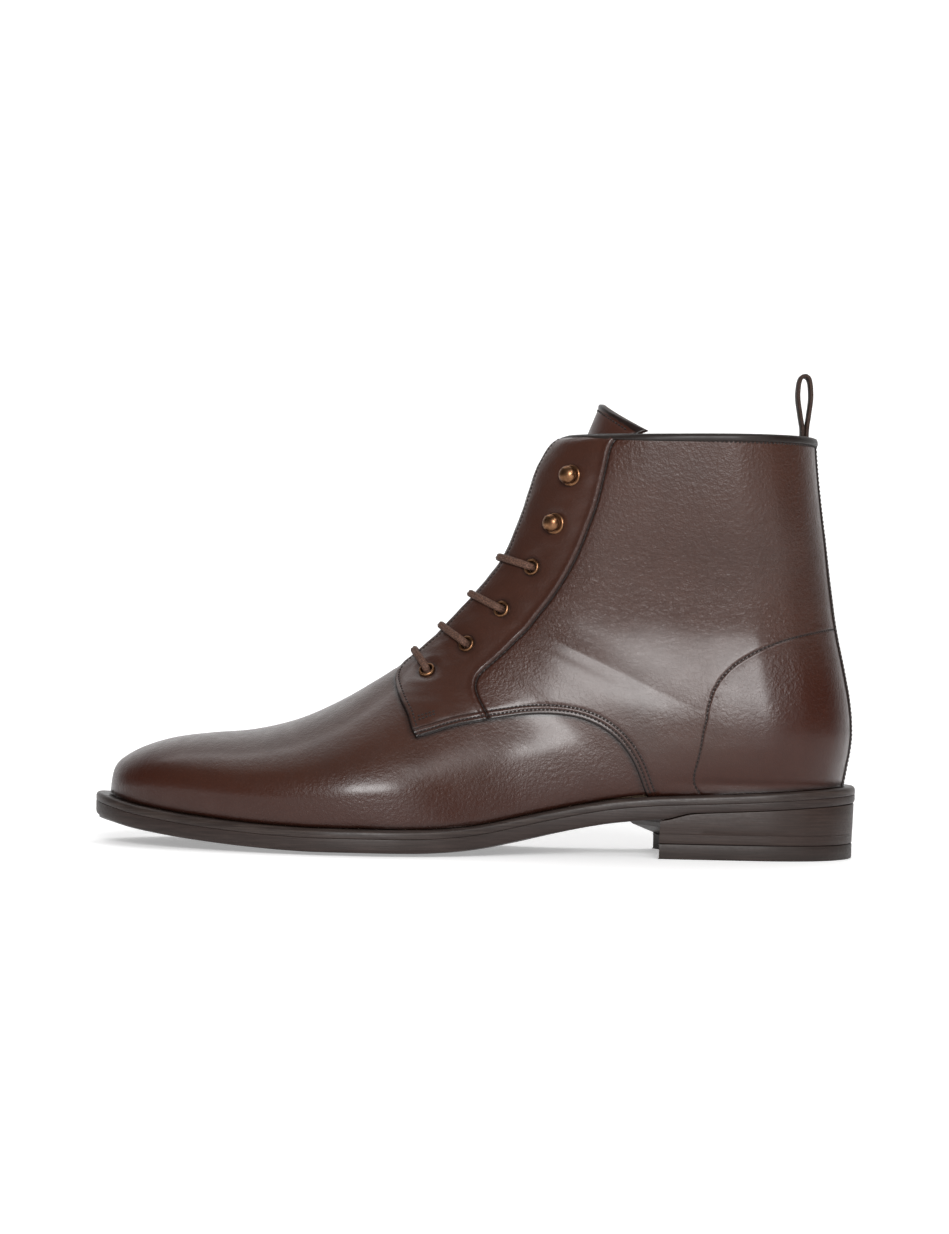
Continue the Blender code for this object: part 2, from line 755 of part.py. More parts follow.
def hardware(upper):
    places = {}
    for n, (x, z) in enumerate(EYELETS, 1):
        s, a = find(x, z, -1)
        for side, word in ((-1, "lateral"), (1, "medial")):
            p = skin(s, side, a)
            axis = outward(s, side, a)
            places[(n, side)] = (s, a, p, axis)
            turned(f"eyelet_{word}_{n}", p, axis, EYELET_RING, BRASS, 10, True)
            cutter = cylinder_between(f"cut_{word}_{n}", p - axis * 5.0, p + axis * 3.0, EYELET_BARREL_R + 0.4, 10)
            cutter.hide_render = True
            cutter.display_type = "WIRE"
            cut = upper.modifiers.new(f"hole_{word}_{n}", "BOOLEAN")
            cut.operation = "DIFFERENCE"
            cut.object = cutter
    for n, (x, z) in enumerate(STUDS, 1):
        s, a = find(x, z, -1)
        for side, word in ((-1, "lateral"), (1, "medial")):
            turned(f"stud_{word}_{n}", skin(s, side, a), outward(s, side, a), STUD_PROFILE, BRASS, 12)
    return places


def build_tongue():
    rows = [9.0, 9.6, 10.4, 11.5, 13.0, 15.0, 17.0, 19.0, 21.0, 22.5, 24.0, 25.5, 27.0, 28.5, 30.0, 31.0]
    columns = 12
    over = [0.3, 0.65, 1.0]
    points = []
    wide = columns + 1

    def lateral_a(s):
        return cubic([9.0, 16.0, 24.0, 31.0], [0.80, 0.76, 0.70, 0.60], s)

    def centre_of(s, depth):
        line = []
        for j in range(wide):
            q = 2 * j / columns - 1
            side = -1 if q < 0 else 1
            a = 1.0 - abs(q) * (1.0 - lateral_a(s))
            line.append(skin(s, side, a, depth))
        return line

    for depth in (TONGUE_DEPTH, TONGUE_DEPTH + TONGUE_THICK):
        for s in rows:
            points.extend(centre_of(s, depth))
        rim = centre_of(rows[-1], depth)
        for share in over:
            for j in range(wide):
                q = abs(2 * j / columns - 1)
                lift = 14.0 - 11.8 * q**1.5
                points.append(rim[j] + Vector((5.5, 0.0, lift)) * share)
    count = len(rows) + len(over)
    total = count * wide
    faces = []
    for i in range(count - 1):
        for j in range(wide - 1):
            k = i * wide + j
            faces.append((k, k + 1, k + wide + 1, k + wide))
            k += total
            faces.append((k, k + wide, k + wide + 1, k + 1))
        for j in (0, wide - 1):
            k = i * wide + j
            faces.append((k, k + wide, k + wide + total, k + total))
    for i in (0, count - 1):
        for j in range(wide - 1):
            k = i * wide + j
            faces.append((k, k + 1, k + 1 + total, k + total))
    return solid("tongue", points, faces, TONGUE_LEATHER)


def build_lace(places):
    over = GAP + EYELET_FLANGE_THICK + LACE_R + 0.55
    under = -(WALL + LACE_R + 0.95)
    path = []

    def through(n, side, outwards):
        s, a, p, axis = places[(n, side)]
        ends = [p + axis * under, p - axis * 0.8, p + axis * over]
        path.extend(ends if outwards else ends[::-1])

    def bar(n, side):
        s, a, p, axis = places[(n, side)]
        s2, a2, p2, axis2 = places[(n, -side)]
        gap = throat_half(s)
        edge = level(s, side, gap)
        for own, share, lift in ((side, 0.5, 2.85), (side, 1.0, 1.9)):
            at = a + (edge - a) * share
            path.append(skin(s, own, at) + outward(s, own, at) * lift)
        path.append((skin(s, 1, 1.0) + outward(s, -1, edge) * 0.6 + outward(s, 1, edge) * 0.6))
        for own, share, lift in ((-side, 1.0, 1.9), (-side, 0.5, 2.85)):
            at = a2 + (edge - a2) * share
            path.append(skin(s, own, at) + outward(s, own, at) * lift)

    def beneath(n, m, side):
        s, a, p, axis = places[(n, side)]
        s2, a2, p2, axis2 = places[(m, side)]
        for k in (0.25, 0.5, 0.75):
            path.append(skin(s + (s2 - s) * k, side, a + (a2 - a) * k) + outward(s + (s2 - s) * k, side, a + (a2 - a) * k) * under)

    side = 1
    for n in (1, 2, 3, 4):
        through(n, side, True)
        bar(n, side)
        through(n, -side, False)
        if n < 4:
            beneath(n, n + 1, -side)
        side = -side
    curve = bpy.data.curves.new("lace", "CURVE")
    curve.dimensions = "3D"
    curve.bevel_depth = LACE_R * MM
    curve.bevel_resolution = 2
    curve.use_fill_caps = True
    line = curve.splines.new("POLY")
    line.points.add(len(path) - 1)
    for point, p in zip(line.points, path):
        point.co = (p.x * MM, p.y * MM, p.z * MM, 1.0)
    obj = bpy.data.objects.new("lace", curve)
    bpy.context.scene.collection.objects.link(obj)
    curve.materials.append(material(CORD))
    return obj


def build_loop():
    """A folded strap: both legs inside the back of the collar, the bow standing above it."""
    inner = back_x(COLLAR_HEIGHT) - WALL
    mid = inner - 0.7 - LOOP_THICK - 0.25
    leg = (LOOP_THICK + 0.5) / 2
    top = COLLAR_HEIGHT + LOOP_RISE
    line = []
    for z in (153.0, 160.0, 166.0):
        lean = back_x(z) - back_x(COLLAR_HEIGHT)
        line.append((mid + leg + lean * 0.6, z))
    line += [
        (mid + leg + 0.3, 171.0),
        (mid + 2.0, 176.5),
        (mid + 2.4, 183.0),
        (mid + 1.9, 188.5),
    ]
    for w in (45, 90, 135):
        line.append((mid - 0.3 + 2.1 * math.cos(math.radians(w)), 189.8 + (top - LOOP_THICK / 2 - 189.8) * math.sin(math.radians(w))))
    line += [
        (mid - 2.5, 188.5),
        (mid - 2.4, 183.0),
        (mid - 1.7, 176.5),
        (mid - leg + 0.1, 171.0),
    ]
    for z in (166.0, 160.0, 153.0):
        lean = back_x(z) - back_x(COLLAR_HEIGHT)
        line.append((mid - leg + lean * 0.6, z))
    points, faces = [], []
    n = len(line)
    for i, (x, z) in enumerate(line):
        a = line[max(i - 1, 0)]
        b = line[min(i + 1, n - 1)]
        tx, tz = b[0] - a[0], b[1] - a[1]
        size = math.hypot(tx, tz)
        nx, nz = -tz / size * LOOP_THICK / 2, tx / size * LOOP_THICK / 2
        for y in (-LOOP_WIDTH / 2, LOOP_WIDTH / 2):
            points.append((x + nx, SIDE_SHIFT + y, z + nz))
            points.append((x - nx, SIDE_SHIFT + y, z - nz))
    for i in range(n - 1):
        k = 4 * i
        for a, b in ((0, 1), (1, 3), (3, 2), (2, 0)):
            faces.append((k + a, k + b, k + 4 + b, k + 4 + a))
    faces.append((0, 1, 3, 2))
    k = 4 * (n - 1)
    faces.append((k, k + 1, k + 3, k + 2))
    return solid("pull_loop", points, faces, WEB)


def main():
    clear()
    build_outsole()
    build_welt()
    build_insole()
    build_heel()
    upper = build_upper()
    places = hardware(upper)
    build_tongue()
    build_lace(places)
    build_loop()


main()
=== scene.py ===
import math

import bpy
import numpy as np
from mathutils import Matrix, Vector
from mathutils.geometry import delaunay_2d_cdt


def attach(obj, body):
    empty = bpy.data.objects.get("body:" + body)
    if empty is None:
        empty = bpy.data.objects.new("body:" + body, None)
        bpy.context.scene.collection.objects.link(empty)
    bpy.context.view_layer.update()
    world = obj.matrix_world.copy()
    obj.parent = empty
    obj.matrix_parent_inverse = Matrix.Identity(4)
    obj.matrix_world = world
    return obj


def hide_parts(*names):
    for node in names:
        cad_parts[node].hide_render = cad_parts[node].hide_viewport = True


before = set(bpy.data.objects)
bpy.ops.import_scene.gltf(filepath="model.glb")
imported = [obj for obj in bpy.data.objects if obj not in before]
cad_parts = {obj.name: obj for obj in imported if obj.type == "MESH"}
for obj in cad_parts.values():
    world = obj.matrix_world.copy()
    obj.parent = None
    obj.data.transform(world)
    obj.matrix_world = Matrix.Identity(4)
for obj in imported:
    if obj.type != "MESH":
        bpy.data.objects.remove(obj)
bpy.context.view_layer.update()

MM = 0.001
# ---------------------------------------------------------------- the part's own sizes, in mm
SOLE_LENGTH = 304.0
TOE_X = -SOLE_LENGTH / 2
GAP = 0.3
WELT_THICK = 3.5
SOLE_EDGE_THICK = 9.0
SOLE_CROWN = 1.4
FEATHER_TOE, FEATHER_SIDE, FEATHER_HEEL = 5.6, 4.3, 4.7
WALL = 2.2
SIDE_SHIFT = 1.6
BREAST_LATERAL_X, BREAST_MEDIAL_X, BREAST_HOLLOW = 73.0, 62.5, 9.0
TOP_PIECE_THICK = 6.0
COLLAR_HEIGHT = 166.5

# Sole outline: distance from the toe tip, then how far the edge lies to each side of the axis.
# (from_toe, lateral, medial)
OUTLINE = [
    (0.0, -6.0, 6.0),
    (5.0, 12.0, 24.0),
    (12.0, 21.0, 33.0),
    (22.0, 29.0, 39.5),
    (40.0, 38.5, 46.5),
    (60.0, 46.5, 50.5),
    (80.0, 52.0, 52.3),
    (98.0, 55.0, 51.8),
    (115.0, 55.5, 48.0),
    (135.0, 52.0, 40.5),
    (160.0, 43.8, 30.0),
    (185.0, 37.3, 25.2),
    (205.0, 34.6, 26.0),
    (225.0, 34.3, 29.4),
    (250.0, 34.8, 33.2),
    (265.0, 34.6, 34.2),
    (280.0, 32.0, 32.2),
    (292.0, 25.4, 25.8),
    (299.0, 17.0, 17.4),
    (304.0, 0.0, 0.0),
]
# Height of the welt's top edge along the boot.
# (x, height)
WELT_TOP = [
    (-152.0, 20.4),
    (-144.0, 18.7),
    (-136.0, 16.9),
    (-125.0, 15.2),
    (-115.0, 13.9),
    (-104.0, 12.8),
    (-89.0, 11.6),
    (-75.0, 10.8),
    (-62.0, 10.4),
    (-43.0, 10.4),
    (-24.0, 10.4),
    (-12.0, 10.9),
    (-4.0, 11.6),
    (5.0, 12.9),
    (15.0, 15.0),
    (25.0, 17.2),
    (35.0, 19.3),
    (45.0, 21.2),
    (55.0, 22.8),
    (72.0, 24.4),
    (86.0, 25.1),
    (102.0, 25.9),
    (119.0, 26.9),
    (135.0, 28.0),
    (152.0, 29.0),
]
# Back of the upper, from the feather line up to the collar.
# (height, x)
BACK = [
    (29.0, 147.3),
    (37.0, 148.6),
    (43.0, 149.6),
    (49.5, 150.1),
    (55.0, 149.9),
    (63.0, 149.0),
    (71.0, 147.5),
    (79.0, 145.8),
    (87.0, 144.0),
    (95.0, 142.5),
    (103.0, 141.3),
    (111.0, 140.1),
    (119.0, 139.0),
    (127.0, 137.9),
    (135.0, 136.7),
    (143.0, 135.6),
    (151.0, 134.6),
    (159.0, 133.8),
    (166.5, 133.2),
]

# Sections of the last, each in a plane through the Y axis direction. The lower end lies on the
# feather line at feather (0 toe, 1 heel) or, past 1, at a height on the back. The upper end
# (ridge_x, ridge_z) lies on the front line of vamp and throat. half_lat and half_med are the
# widest half breadths from the axis, at the fraction wide_at of the way up.
# (feather, back_z, ridge_x, ridge_z, half_lat, half_med, wide_at, low_n, top_lat_n, top_med_n)
SECTIONS = [
    (0.00, 0.0, -146.2, 23.6, -6.0, 6.0, 0.30, 2.0, 2.1, 2.1),
    (0.05, 0.0, -144.3, 30.6, 5.0, 17.0, 0.30, 2.0, 2.1, 2.1),
    (0.10, 0.0, -139.5, 35.1, 15.3, 27.4, 0.30, 2.0, 2.15, 2.15),
    (0.15, 0.0, -131.0, 39.3, 24.2, 35.6, 0.30, 2.0, 2.15, 2.15),
    (0.20, 0.0, -119.5, 42.6, 31.8, 41.4, 0.30, 2.0, 2.1, 2.15),
    (0.25, 0.0, -105.5, 44.6, 38.8, 45.9, 0.30, 2.0, 2.0, 2.15),
    (0.30, 0.0, -88.5, 46.4, 45.3, 48.8, 0.29, 2.0, 1.92, 2.1),
    (0.35, 0.0, -70.5, 51.2, 50.3, 50.1, 0.27, 2.0, 1.85, 2.05),
    (0.40, 0.0, -54.0, 58.8, 52.7, 48.4, 0.25, 2.0, 1.78, 1.95),
    (0.45, 0.0, -40.3, 67.2, 50.7, 41.2, 0.24, 2.0, 1.74, 1.88),
    (0.50, 0.0, -29.0, 75.6, 43.8, 33.6, 0.25, 2.0, 1.74, 1.85),
    (0.55, 0.0, -23.6, 80.6, 37.6, 30.2, 0.27, 2.0, 1.78, 1.85),
    (0.60, 0.0, -19.6, 84.4, 34.6, 30.0, 0.29, 2.0, 1.84, 1.88),
    (0.65, 0.0, -16.4, 87.6, 33.6, 31.2, 0.31, 2.0, 1.9, 1.92),
    (0.70, 0.0, -13.9, 90.3, 33.8, 32.4, 0.33, 1.95, 1.96, 1.96),
    (0.75, 0.0, -11.8, 92.6, 33.95, 33.1, 0.35, 1.9, 2.0, 2.0),
    (0.80, 0.0, -10.0, 94.7, 34.0, 33.5, 0.37, 1.8, 2.03, 2.03),
    (0.85, 0.0, -8.4, 96.5, 33.97, 33.65, 0.38, 1.75, 2.06, 2.06),
    (0.90, 0.0, -6.9, 98.2, 33.92, 33.62, 0.38, 1.85, 2.08, 2.08),
    (0.95, 0.0, -5.4, 99.9, 33.87, 33.58, 0.38, 2.2, 2.1, 2.1),
    (1.00, 29.0, -3.9, 101.6, 33.82, 33.54, 0.38, 2.5, 2.12, 2.12),
    (1.00, 42.0, -1.2, 104.8, 33.7, 33.4, 0.39, 2.5, 2.14, 2.14),
    (1.00, 56.0, 2.2, 108.9, 33.5, 33.3, 0.40, 2.45, 2.15, 2.15),
    (1.00, 71.0, 6.2, 114.2, 33.4, 33.2, 0.42, 2.4, 2.15, 2.15),
    (1.00, 86.0, 10.0, 120.8, 33.6, 33.4, 0.44, 2.35, 2.15, 2.15),
    (1.00, 101.0, 13.2, 128.7, 34.2, 34.0, 0.46, 2.3, 2.15, 2.15),
    (1.00, 116.0, 16.2, 137.0, 35.0, 34.8, 0.48, 2.3, 2.15, 2.15),
    (1.00, 130.0, 18.8, 145.6, 35.9, 35.7, 0.49, 2.3, 2.15, 2.15),
    (1.00, 143.0, 21.4, 153.2, 36.8, 36.6, 0.50, 2.3, 2.15, 2.15),
    (1.00, 154.0, 25.0, 160.0, 37.5, 37.3, 0.50, 2.3, 2.15, 2.15),
    (1.00, 162.0, 28.4, 163.6, 37.9, 37.7, 0.50, 2.3, 2.15, 2.15),
    (1.00, 166.5, 33.4, 165.2, 38.0, 37.8, 0.50, 2.3, 2.15, 2.15),
]
# Half width of the open throat. (row, half_gap)
THROAT = [
    (0.0, 5.0),
    (10.0, 5.0),
    (16.0, 5.6),
    (22.0, 6.4),
    (27.0, 7.4),
    (31.0, 8.6),
]

LAST_ROW = float(len(SECTIONS) - 1)


# ---------------------------------------------------------------- curves
def cubic(xs, ys, x):
    """Smooth curve through (xs, ys): cubic Hermite with limited slopes."""
    xs = np.asarray(xs, float)
    ys = np.asarray(ys, float)
    step = np.diff(xs)
    rise = np.diff(ys) / step
    slope = np.zeros(len(xs))
    for i in range(1, len(xs) - 1):
        a, b = rise[i - 1], rise[i]
        if a * b > 0:
            w1 = 2 * step[i] + step[i - 1]
            w2 = step[i] + 2 * step[i - 1]
            slope[i] = (w1 + w2) / (w1 / a + w2 / b)
    slope[0] = rise[0]
    slope[-1] = rise[-1]
    x = min(max(x, xs[0]), xs[-1])
    i = min(int(np.searchsorted(xs, x, side="right")) - 1, len(xs) - 2)
    h = step[i]
    t = (x - xs[i]) / h
    return float(
        (1 + 2 * t) * (1 - t) ** 2 * ys[i]
        + t * (1 - t) ** 2 * h * slope[i]
        + t * t * (3 - 2 * t) * ys[i + 1]
        + t * t * (t - 1) * h * slope[i + 1]
    )


def smooth(rows, column, s):
    """Catmull-Rom value of one column at a fractional row."""
    n = len(rows)
    i = min(max(int(math.floor(s)), 0), n - 2)
    t = s - i
    p1, p2 = rows[i][column], rows[i + 1][column]
    p0 = rows[i - 1][column] if i > 0 else 2 * p1 - p2
    p3 = rows[i + 2][column] if i + 2 < n else 2 * p2 - p1
    return 0.5 * (
        2 * p1
        + (p2 - p0) * t
        + (2 * p0 - 5 * p1 + 4 * p2 - p3) * t * t
        + (3 * p1 - p0 - 3 * p2 + p3) * t**3
    )


OUTLINE_T = [math.acos(1 - 2 * row[0] / SOLE_LENGTH) / math.pi for row in OUTLINE]


def sole_edge(t, toe_in=0.0, side_in=0.0, heel_in=0.0):
    """(x, lateral y, medial y) of the sole outline at t (0 toe tip, 1 heel end), moved inwards."""
    x = TOE_X + toe_in + (SOLE_LENGTH - toe_in - heel_in) * (1 - math.cos(math.pi * t)) / 2
    lateral = cubic(OUTLINE_T, [row[1] for row in OUTLINE], t)
    medial = cubic(OUTLINE_T, [row[2] for row in OUTLINE], t)
    inner = side_in * math.sin(math.pi * t)
    return x, SIDE_SHIFT - lateral + inner, SIDE_SHIFT + medial - inner


def feather(t, inset=0.0):
    return sole_edge(t, FEATHER_TOE + inset, FEATHER_SIDE + inset, FEATHER_HEEL + inset)


def welt_top(x):
    return cubic([row[0] for row in WELT_TOP], [row[1] for row in WELT_TOP], x)


def back_x(z):
    return cubic([row[0] for row in BACK], [row[1] for row in BACK], z)


def sole_thick(x):
    """Edge thickness of welt and outsole together: thinner over the heel than at the waist."""
    s = min(max((x - BREAST_LATERAL_X) / 13.0, 0.0), 1.0)
    return SOLE_EDGE_THICK - 2.2 * s * s * (3 - 2 * s)



# ---------------------------------------------------------------- the last, as arrays
def ridge_y(s):
    x, lat, med = feather(min(max(smooth(SECTIONS, 0, s), 0.0), 1.0) if s < 20 else 1.0)
    k = min(max((s - 4.0) / 6.0, 0.0), 1.0)
    k = k * k * (3 - 2 * k)
    return (lat + med) / 2 * (1 - k) + (SIDE_SHIFT - 0.8) * k


def row_of(s, inset):
    """Everything the section at row s needs, for both sides, moved in by inset."""
    f = 1.0 if s >= 20.0 else min(max(smooth(SECTIONS, 0, s), 0.0), 1.0)
    x, lat, med = feather(f, inset)
    z = welt_top(x) + GAP
    if s >= 20.0:
        z = max(smooth(SECTIONS, 1, s), z) if s > 20.0 else z
        x = back_x(z) - inset
        lat = med = SIDE_SHIFT
    rx, rz = smooth(SECTIONS, 2, s), smooth(SECTIONS, 3, s)
    if inset:
        e = 0.05
        lo, hi = max(s - e, 0), min(s + e, LAST_ROW)
        tx, tz = smooth(SECTIONS, 2, hi) - smooth(SECTIONS, 2, lo), smooth(SECTIONS, 3, hi) - smooth(SECTIONS, 3, lo)
        long = math.hypot(tx, tz)
        nx, nz = tz / long, -tx / long
        if s > 27.0:
            k = (s - 27.0) / (LAST_ROW - 27.0)
            nx, nz = nx * (1 - k) + k, nz * (1 - k)
            long = math.hypot(nx, nz)
            nx, nz = nx / long, nz / long
        rx, rz = rx + nx * inset, rz + nz * inset
    end = math.sin(math.pi * min(max(smooth(SECTIONS, 0, s), 0.0), 0.5))
    wide_lat = SIDE_SHIFT - (smooth(SECTIONS, 4, s) - inset * end)
    wide_med = SIDE_SHIFT + (smooth(SECTIONS, 5, s) - inset * end)
    return (x, z, rx, rz, lat, med, wide_lat, wide_med, ridge_y(s),
            smooth(SECTIONS, 6, s), smooth(SECTIONS, 7, s), smooth(SECTIONS, 8, s), smooth(SECTIONS, 9, s))


STEP = 0.02
_tables = {}


def table_for(inset):
    if inset not in _tables:
        count = int(round(LAST_ROW / STEP)) + 1
        _tables[inset] = np.array([row_of(min(i * STEP, LAST_ROW), inset) for i in range(count)])
    return _tables[inset]


def data_at(s, inset=0.0):
    t = table_for(inset)
    k = np.clip(np.asarray(s, float) / STEP, 0, len(t) - 1.000001)
    i = k.astype(int)
    w = (k - i)[..., None]
    return t[i] * (1 - w) + t[i + 1] * w


SPLIT = 0.36


def waist(x, z):
    """Share of the breadth at a place: fuller at the heel cup, drawn in at the ankle."""
    ankle, cup = np.clip((x - 25.0) / 50.0, 0, 1), np.clip((x - 60.0) / 40.0, 0, 1)
    ankle = ankle * ankle * (3 - 2 * ankle) * np.exp(-(((z - 101.0) / 31.0) ** 2))
    cup = cup * cup * (3 - 2 * cup) * np.exp(-(((z - 52.0) / 17.0) ** 2))
    return 1 - 0.115 * ankle + 0.025 * cup


# Breadth of the back part against its feather line. (height, share)
GROWTH = [
    (20.0, 1.0),
    (29.3, 1.0),
    (33.0, 1.05),
    (38.0, 1.09),
    (45.0, 1.12),
    (54.0, 1.128),
    (70.0, 1.125),
    (86.0, 1.125),
    (101.0, 1.14),
    (116.0, 1.165),
    (143.0, 1.225),
    (158.0, 1.255),
    (166.5, 1.265),
]
HEIGHTS = np.linspace(10.0, 175.0, 1200)
BACK_AT = np.array([back_x(v) for v in HEIGHTS])
GROWTH_AT = np.array([cubic([row[0] for row in GROWTH], [row[1] for row in GROWTH], v) for v in HEIGHTS])
_halves = {}


def heel_half(x, z, side, inset):
    """Half breadth of the back part: the feather's outline, moved with the back and widened."""
    long = SOLE_LENGTH - FEATHER_TOE - FEATHER_HEEL - 2 * inset
    if inset not in _halves:
        gaps = 130.0 * np.linspace(0, 1, 1500) ** 2
        ends = [feather(math.acos(2 * g / long - 1) / math.pi, inset) for g in gaps]
        _halves[inset] = (gaps, np.array([SIDE_SHIFT - e[1] for e in ends]), np.array([e[2] - SIDE_SHIFT for e in ends]))
    gaps, lat, med = _halves[inset]
    gap = np.clip(np.interp(z, HEIGHTS, BACK_AT) - inset - x - 0.12, 0.0, 129.0)
    half = np.where(side < 0, np.interp(gap, gaps, lat), np.interp(gap, gaps, med))
    return half * np.interp(z, HEIGHTS, GROWTH_AT)


def skin(s, side, a, inset=0.0):
    """Points (n, 3) of the last's surface, in mm."""
    s, a = np.broadcast_arrays(np.asarray(s, float), np.asarray(a, float))
    side = np.broadcast_to(side, s.shape)
    d = data_at(s, inset)
    left = side < 0
    foot = np.where(left, d[..., 4], d[..., 5])
    wide = np.where(left, d[..., 6], d[..., 7])
    middle, wide_at, low_n = d[..., 8], d[..., 9], d[..., 10]
    top_n = np.where(left, d[..., 11], d[..., 12])
    phi = np.clip(a / SPLIT, 0, 1) * np.pi / 2
    psi = np.clip((a - SPLIT) / (1 - SPLIT), 0, 1) * np.pi / 2
    y_low = foot + (wide - foot) * np.sin(phi) ** (2 / low_n)
    u_low = wide_at * (1 - np.clip(np.cos(phi), 0, 1) ** (2 / low_n))
    y_top = middle + (wide - middle) * np.clip(np.cos(psi), 0, 1) ** (2 / top_n)
    u_top = wide_at + (1 - wide_at) * np.sin(psi) ** (2 / top_n)
    low = a <= SPLIT
    y, u = np.where(low, y_low, y_top), np.where(low, u_low, u_top)
    x, z = d[..., 0] + (d[..., 2] - d[..., 0]) * u, d[..., 1] + (d[..., 3] - d[..., 1]) * u
    k = np.clip((x - 68.0) / 34.0, 0, 1)
    k = k * k * (3 - 2 * k)
    y = y + (SIDE_SHIFT + np.where(left, -1, 1) * heel_half(x, z, side, inset) - y) * k
    return np.stack([x, SIDE_SHIFT + (y - SIDE_SHIFT) * waist(x, z), z], -1)


def outward(s, side, a):
    s, a = np.broadcast_arrays(np.asarray(s, float), np.asarray(a, float))
    side = np.broadcast_to(side, s.shape)
    p = skin(np.minimum(s + 0.06, LAST_ROW), side, a) - skin(np.maximum(s - 0.06, 0), side, a)
    q = skin(s, side, np.minimum(a + 0.008, 1)) - skin(s, side, np.maximum(a - 0.008, 0))
    n = np.cross(p, q)
    size = np.linalg.norm(n, axis=-1, keepdims=True)
    n = n / np.maximum(size, 1e-9)
    middle = (skin(s, -1, 0.5 + 0 * a) + skin(s, 1, 0.5 + 0 * a)) / 2
    turn = np.sum(n * (skin(s, side, a) - middle), -1, keepdims=True) < 0
    return np.where(turn, -n, n)


def level(s, side, half_gap):
    """a where the surface lies half_gap from the ridge line."""
    s = np.asarray(s, float)
    d = data_at(s)
    wide = np.where(np.asarray(side) < 0, d[..., 6], d[..., 7])
    top_n = np.where(np.asarray(side) < 0, d[..., 11], d[..., 12])
    k = np.minimum(half_gap / np.maximum(np.abs(wide - d[..., 8]), 1e-6), 0.3)
    return SPLIT + (1 - SPLIT) * np.arccos(k ** (top_n / 2)) / (np.pi / 2)


def throat_half(s):
    xs, ys = [row[0] for row in THROAT], [row[1] for row in THROAT]
    return np.vectorize(lambda v: cubic(xs, ys, v))(s)


def find(x, z, side):
    """(s, a) of the surface points seen from the side at x, z."""
    x, z = np.atleast_1d(np.asarray(x, float)), np.atleast_1d(np.asarray(z, float))
    t = table_for(0.0)
    lowx, lowz, topx, topz = t[:, 0], t[:, 1], t[:, 2], t[:, 3]
    dx, dz = topx - lowx, topz - lowz
    s = np.empty(len(x))
    for i in range(len(x)):
        c = (x[i] - lowx) * dz - (z[i] - lowz) * dx
        c = c / np.hypot(dx, dz)
        sign = np.sign(c)
        change = np.nonzero(sign[10:-1] * sign[11:] <= 0)[0] + 10
        if len(change):
            k = change[0]
            w = c[k] / (c[k] - c[k + 1]) if c[k] != c[k + 1] else 0.0
            s[i] = (k + w) * STEP
        else:
            s[i] = np.argmin(np.abs(c)) * STEP
    d = data_at(s)
    length2 = (d[:, 2] - d[:, 0]) ** 2 + (d[:, 3] - d[:, 1]) ** 2
    u = ((x - d[:, 0]) * (d[:, 2] - d[:, 0]) + (z - d[:, 1]) * (d[:, 3] - d[:, 1])) / length2
    u = np.clip(u, 0, 1)
    wide_at, low_n = d[:, 9], d[:, 10]
    top_n = d[:, 11] if side < 0 else d[:, 12]
    low = u <= wide_at
    phi = np.arccos(np.clip(1 - u / wide_at, 0, 1) ** (low_n / 2))
    psi = np.arcsin(np.clip((u - wide_at) / (1 - wide_at), 0, 1) ** (top_n / 2))
    a = np.where(low, phi / (np.pi / 2) * SPLIT, SPLIT + (1 - SPLIT) * psi / (np.pi / 2))
    return s, a


# ---------------------------------------------------------------- from the picture to the part
ROLL = math.radians(1.2)
CAMERA_AWAY = 1345.0
CAMERA_UP = 95.4
PX_PER_MM = 2.5
WIDE_PX, HIGH_PX = 949, 1234


def turn_in(x, z):
    c, s = math.cos(ROLL), math.sin(ROLL)
    return 110 + (x - 110) * c - z * s + 0.35, (x - 110) * s + z * c


def from_picture(px, py, near):
    """Side view x, z in mm of a picture point that lies near mm on the camera's side of y = 0."""
    k = (CAMERA_AWAY - near) / CAMERA_AWAY
    return turn_in((px - WIDE_PX / 2) / PX_PER_MM * k, CAMERA_UP + (HIGH_PX / 2 - py) / PX_PER_MM * k)


def on_side(points):
    """(s, a) on the lateral side of points seen in the picture."""
    px = np.array([p[0] for p in points], float)
    py = np.array([p[1] for p in points], float)
    near = np.full(len(px), 25.0)
    for _ in range(6):
        x, z = from_picture(px, py, near)
        s, a = find(x, z, -1)
        near = -skin(s, -1, a)[:, 1]
    return s, a


# ---------------------------------------------------------------- meshes
def put(name, points, faces, look, attributes=None, weld=0.003, sharp=None, replaces=(), slot="upper_leather"):
    """One mesh piece on the root body, from points in mm."""
    points = np.asarray(points, float)
    if weld:
        keys = np.round(points / weld).astype(np.int64)
        _, first, back = np.unique(keys, axis=0, return_index=True, return_inverse=True)
        back = back.reshape(-1)
    else:
        first = np.arange(len(points))
        back = first
    kept = []
    for face in faces:
        ring = []
        for index in face:
            index = int(back[index])
            if index not in ring:
                ring.append(index)
        if len(ring) >= 3:
            kept.append(ring)
    mesh = bpy.data.meshes.new(name)
    mesh.from_pydata((points[first] * MM).tolist(), [], kept)
    for key, values in (attributes or {}).items():
        layer = mesh.attributes.new(key, "FLOAT", "POINT")
        layer.data.foreach_set("value", np.asarray(values, np.float32)[first])
    mesh.materials.append(look)
    mesh.validate()
    mesh.shade_smooth()
    if sharp:
        mesh.set_sharp_from_angle(angle=math.radians(sharp))
    mesh.update()
    obj = bpy.data.objects.new(name, mesh)
    bpy.context.scene.collection.objects.link(obj)
    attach(obj, "root")
    if replaces:
        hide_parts(*replaces)
    return obj


def grid_faces(rows, cols, start=0, wrap=False):
    i, j = np.meshgrid(np.arange(rows - 1), np.arange(cols if wrap else cols - 1), indexing="ij")
    a = start + i * cols + j
    b = start + i * cols + (j + 1) % cols
    return np.stack([a, b, b + cols, a + cols], -1).reshape(-1, 4).tolist()


def bell(d, width):
    return np.exp(-((d / width) ** 2))


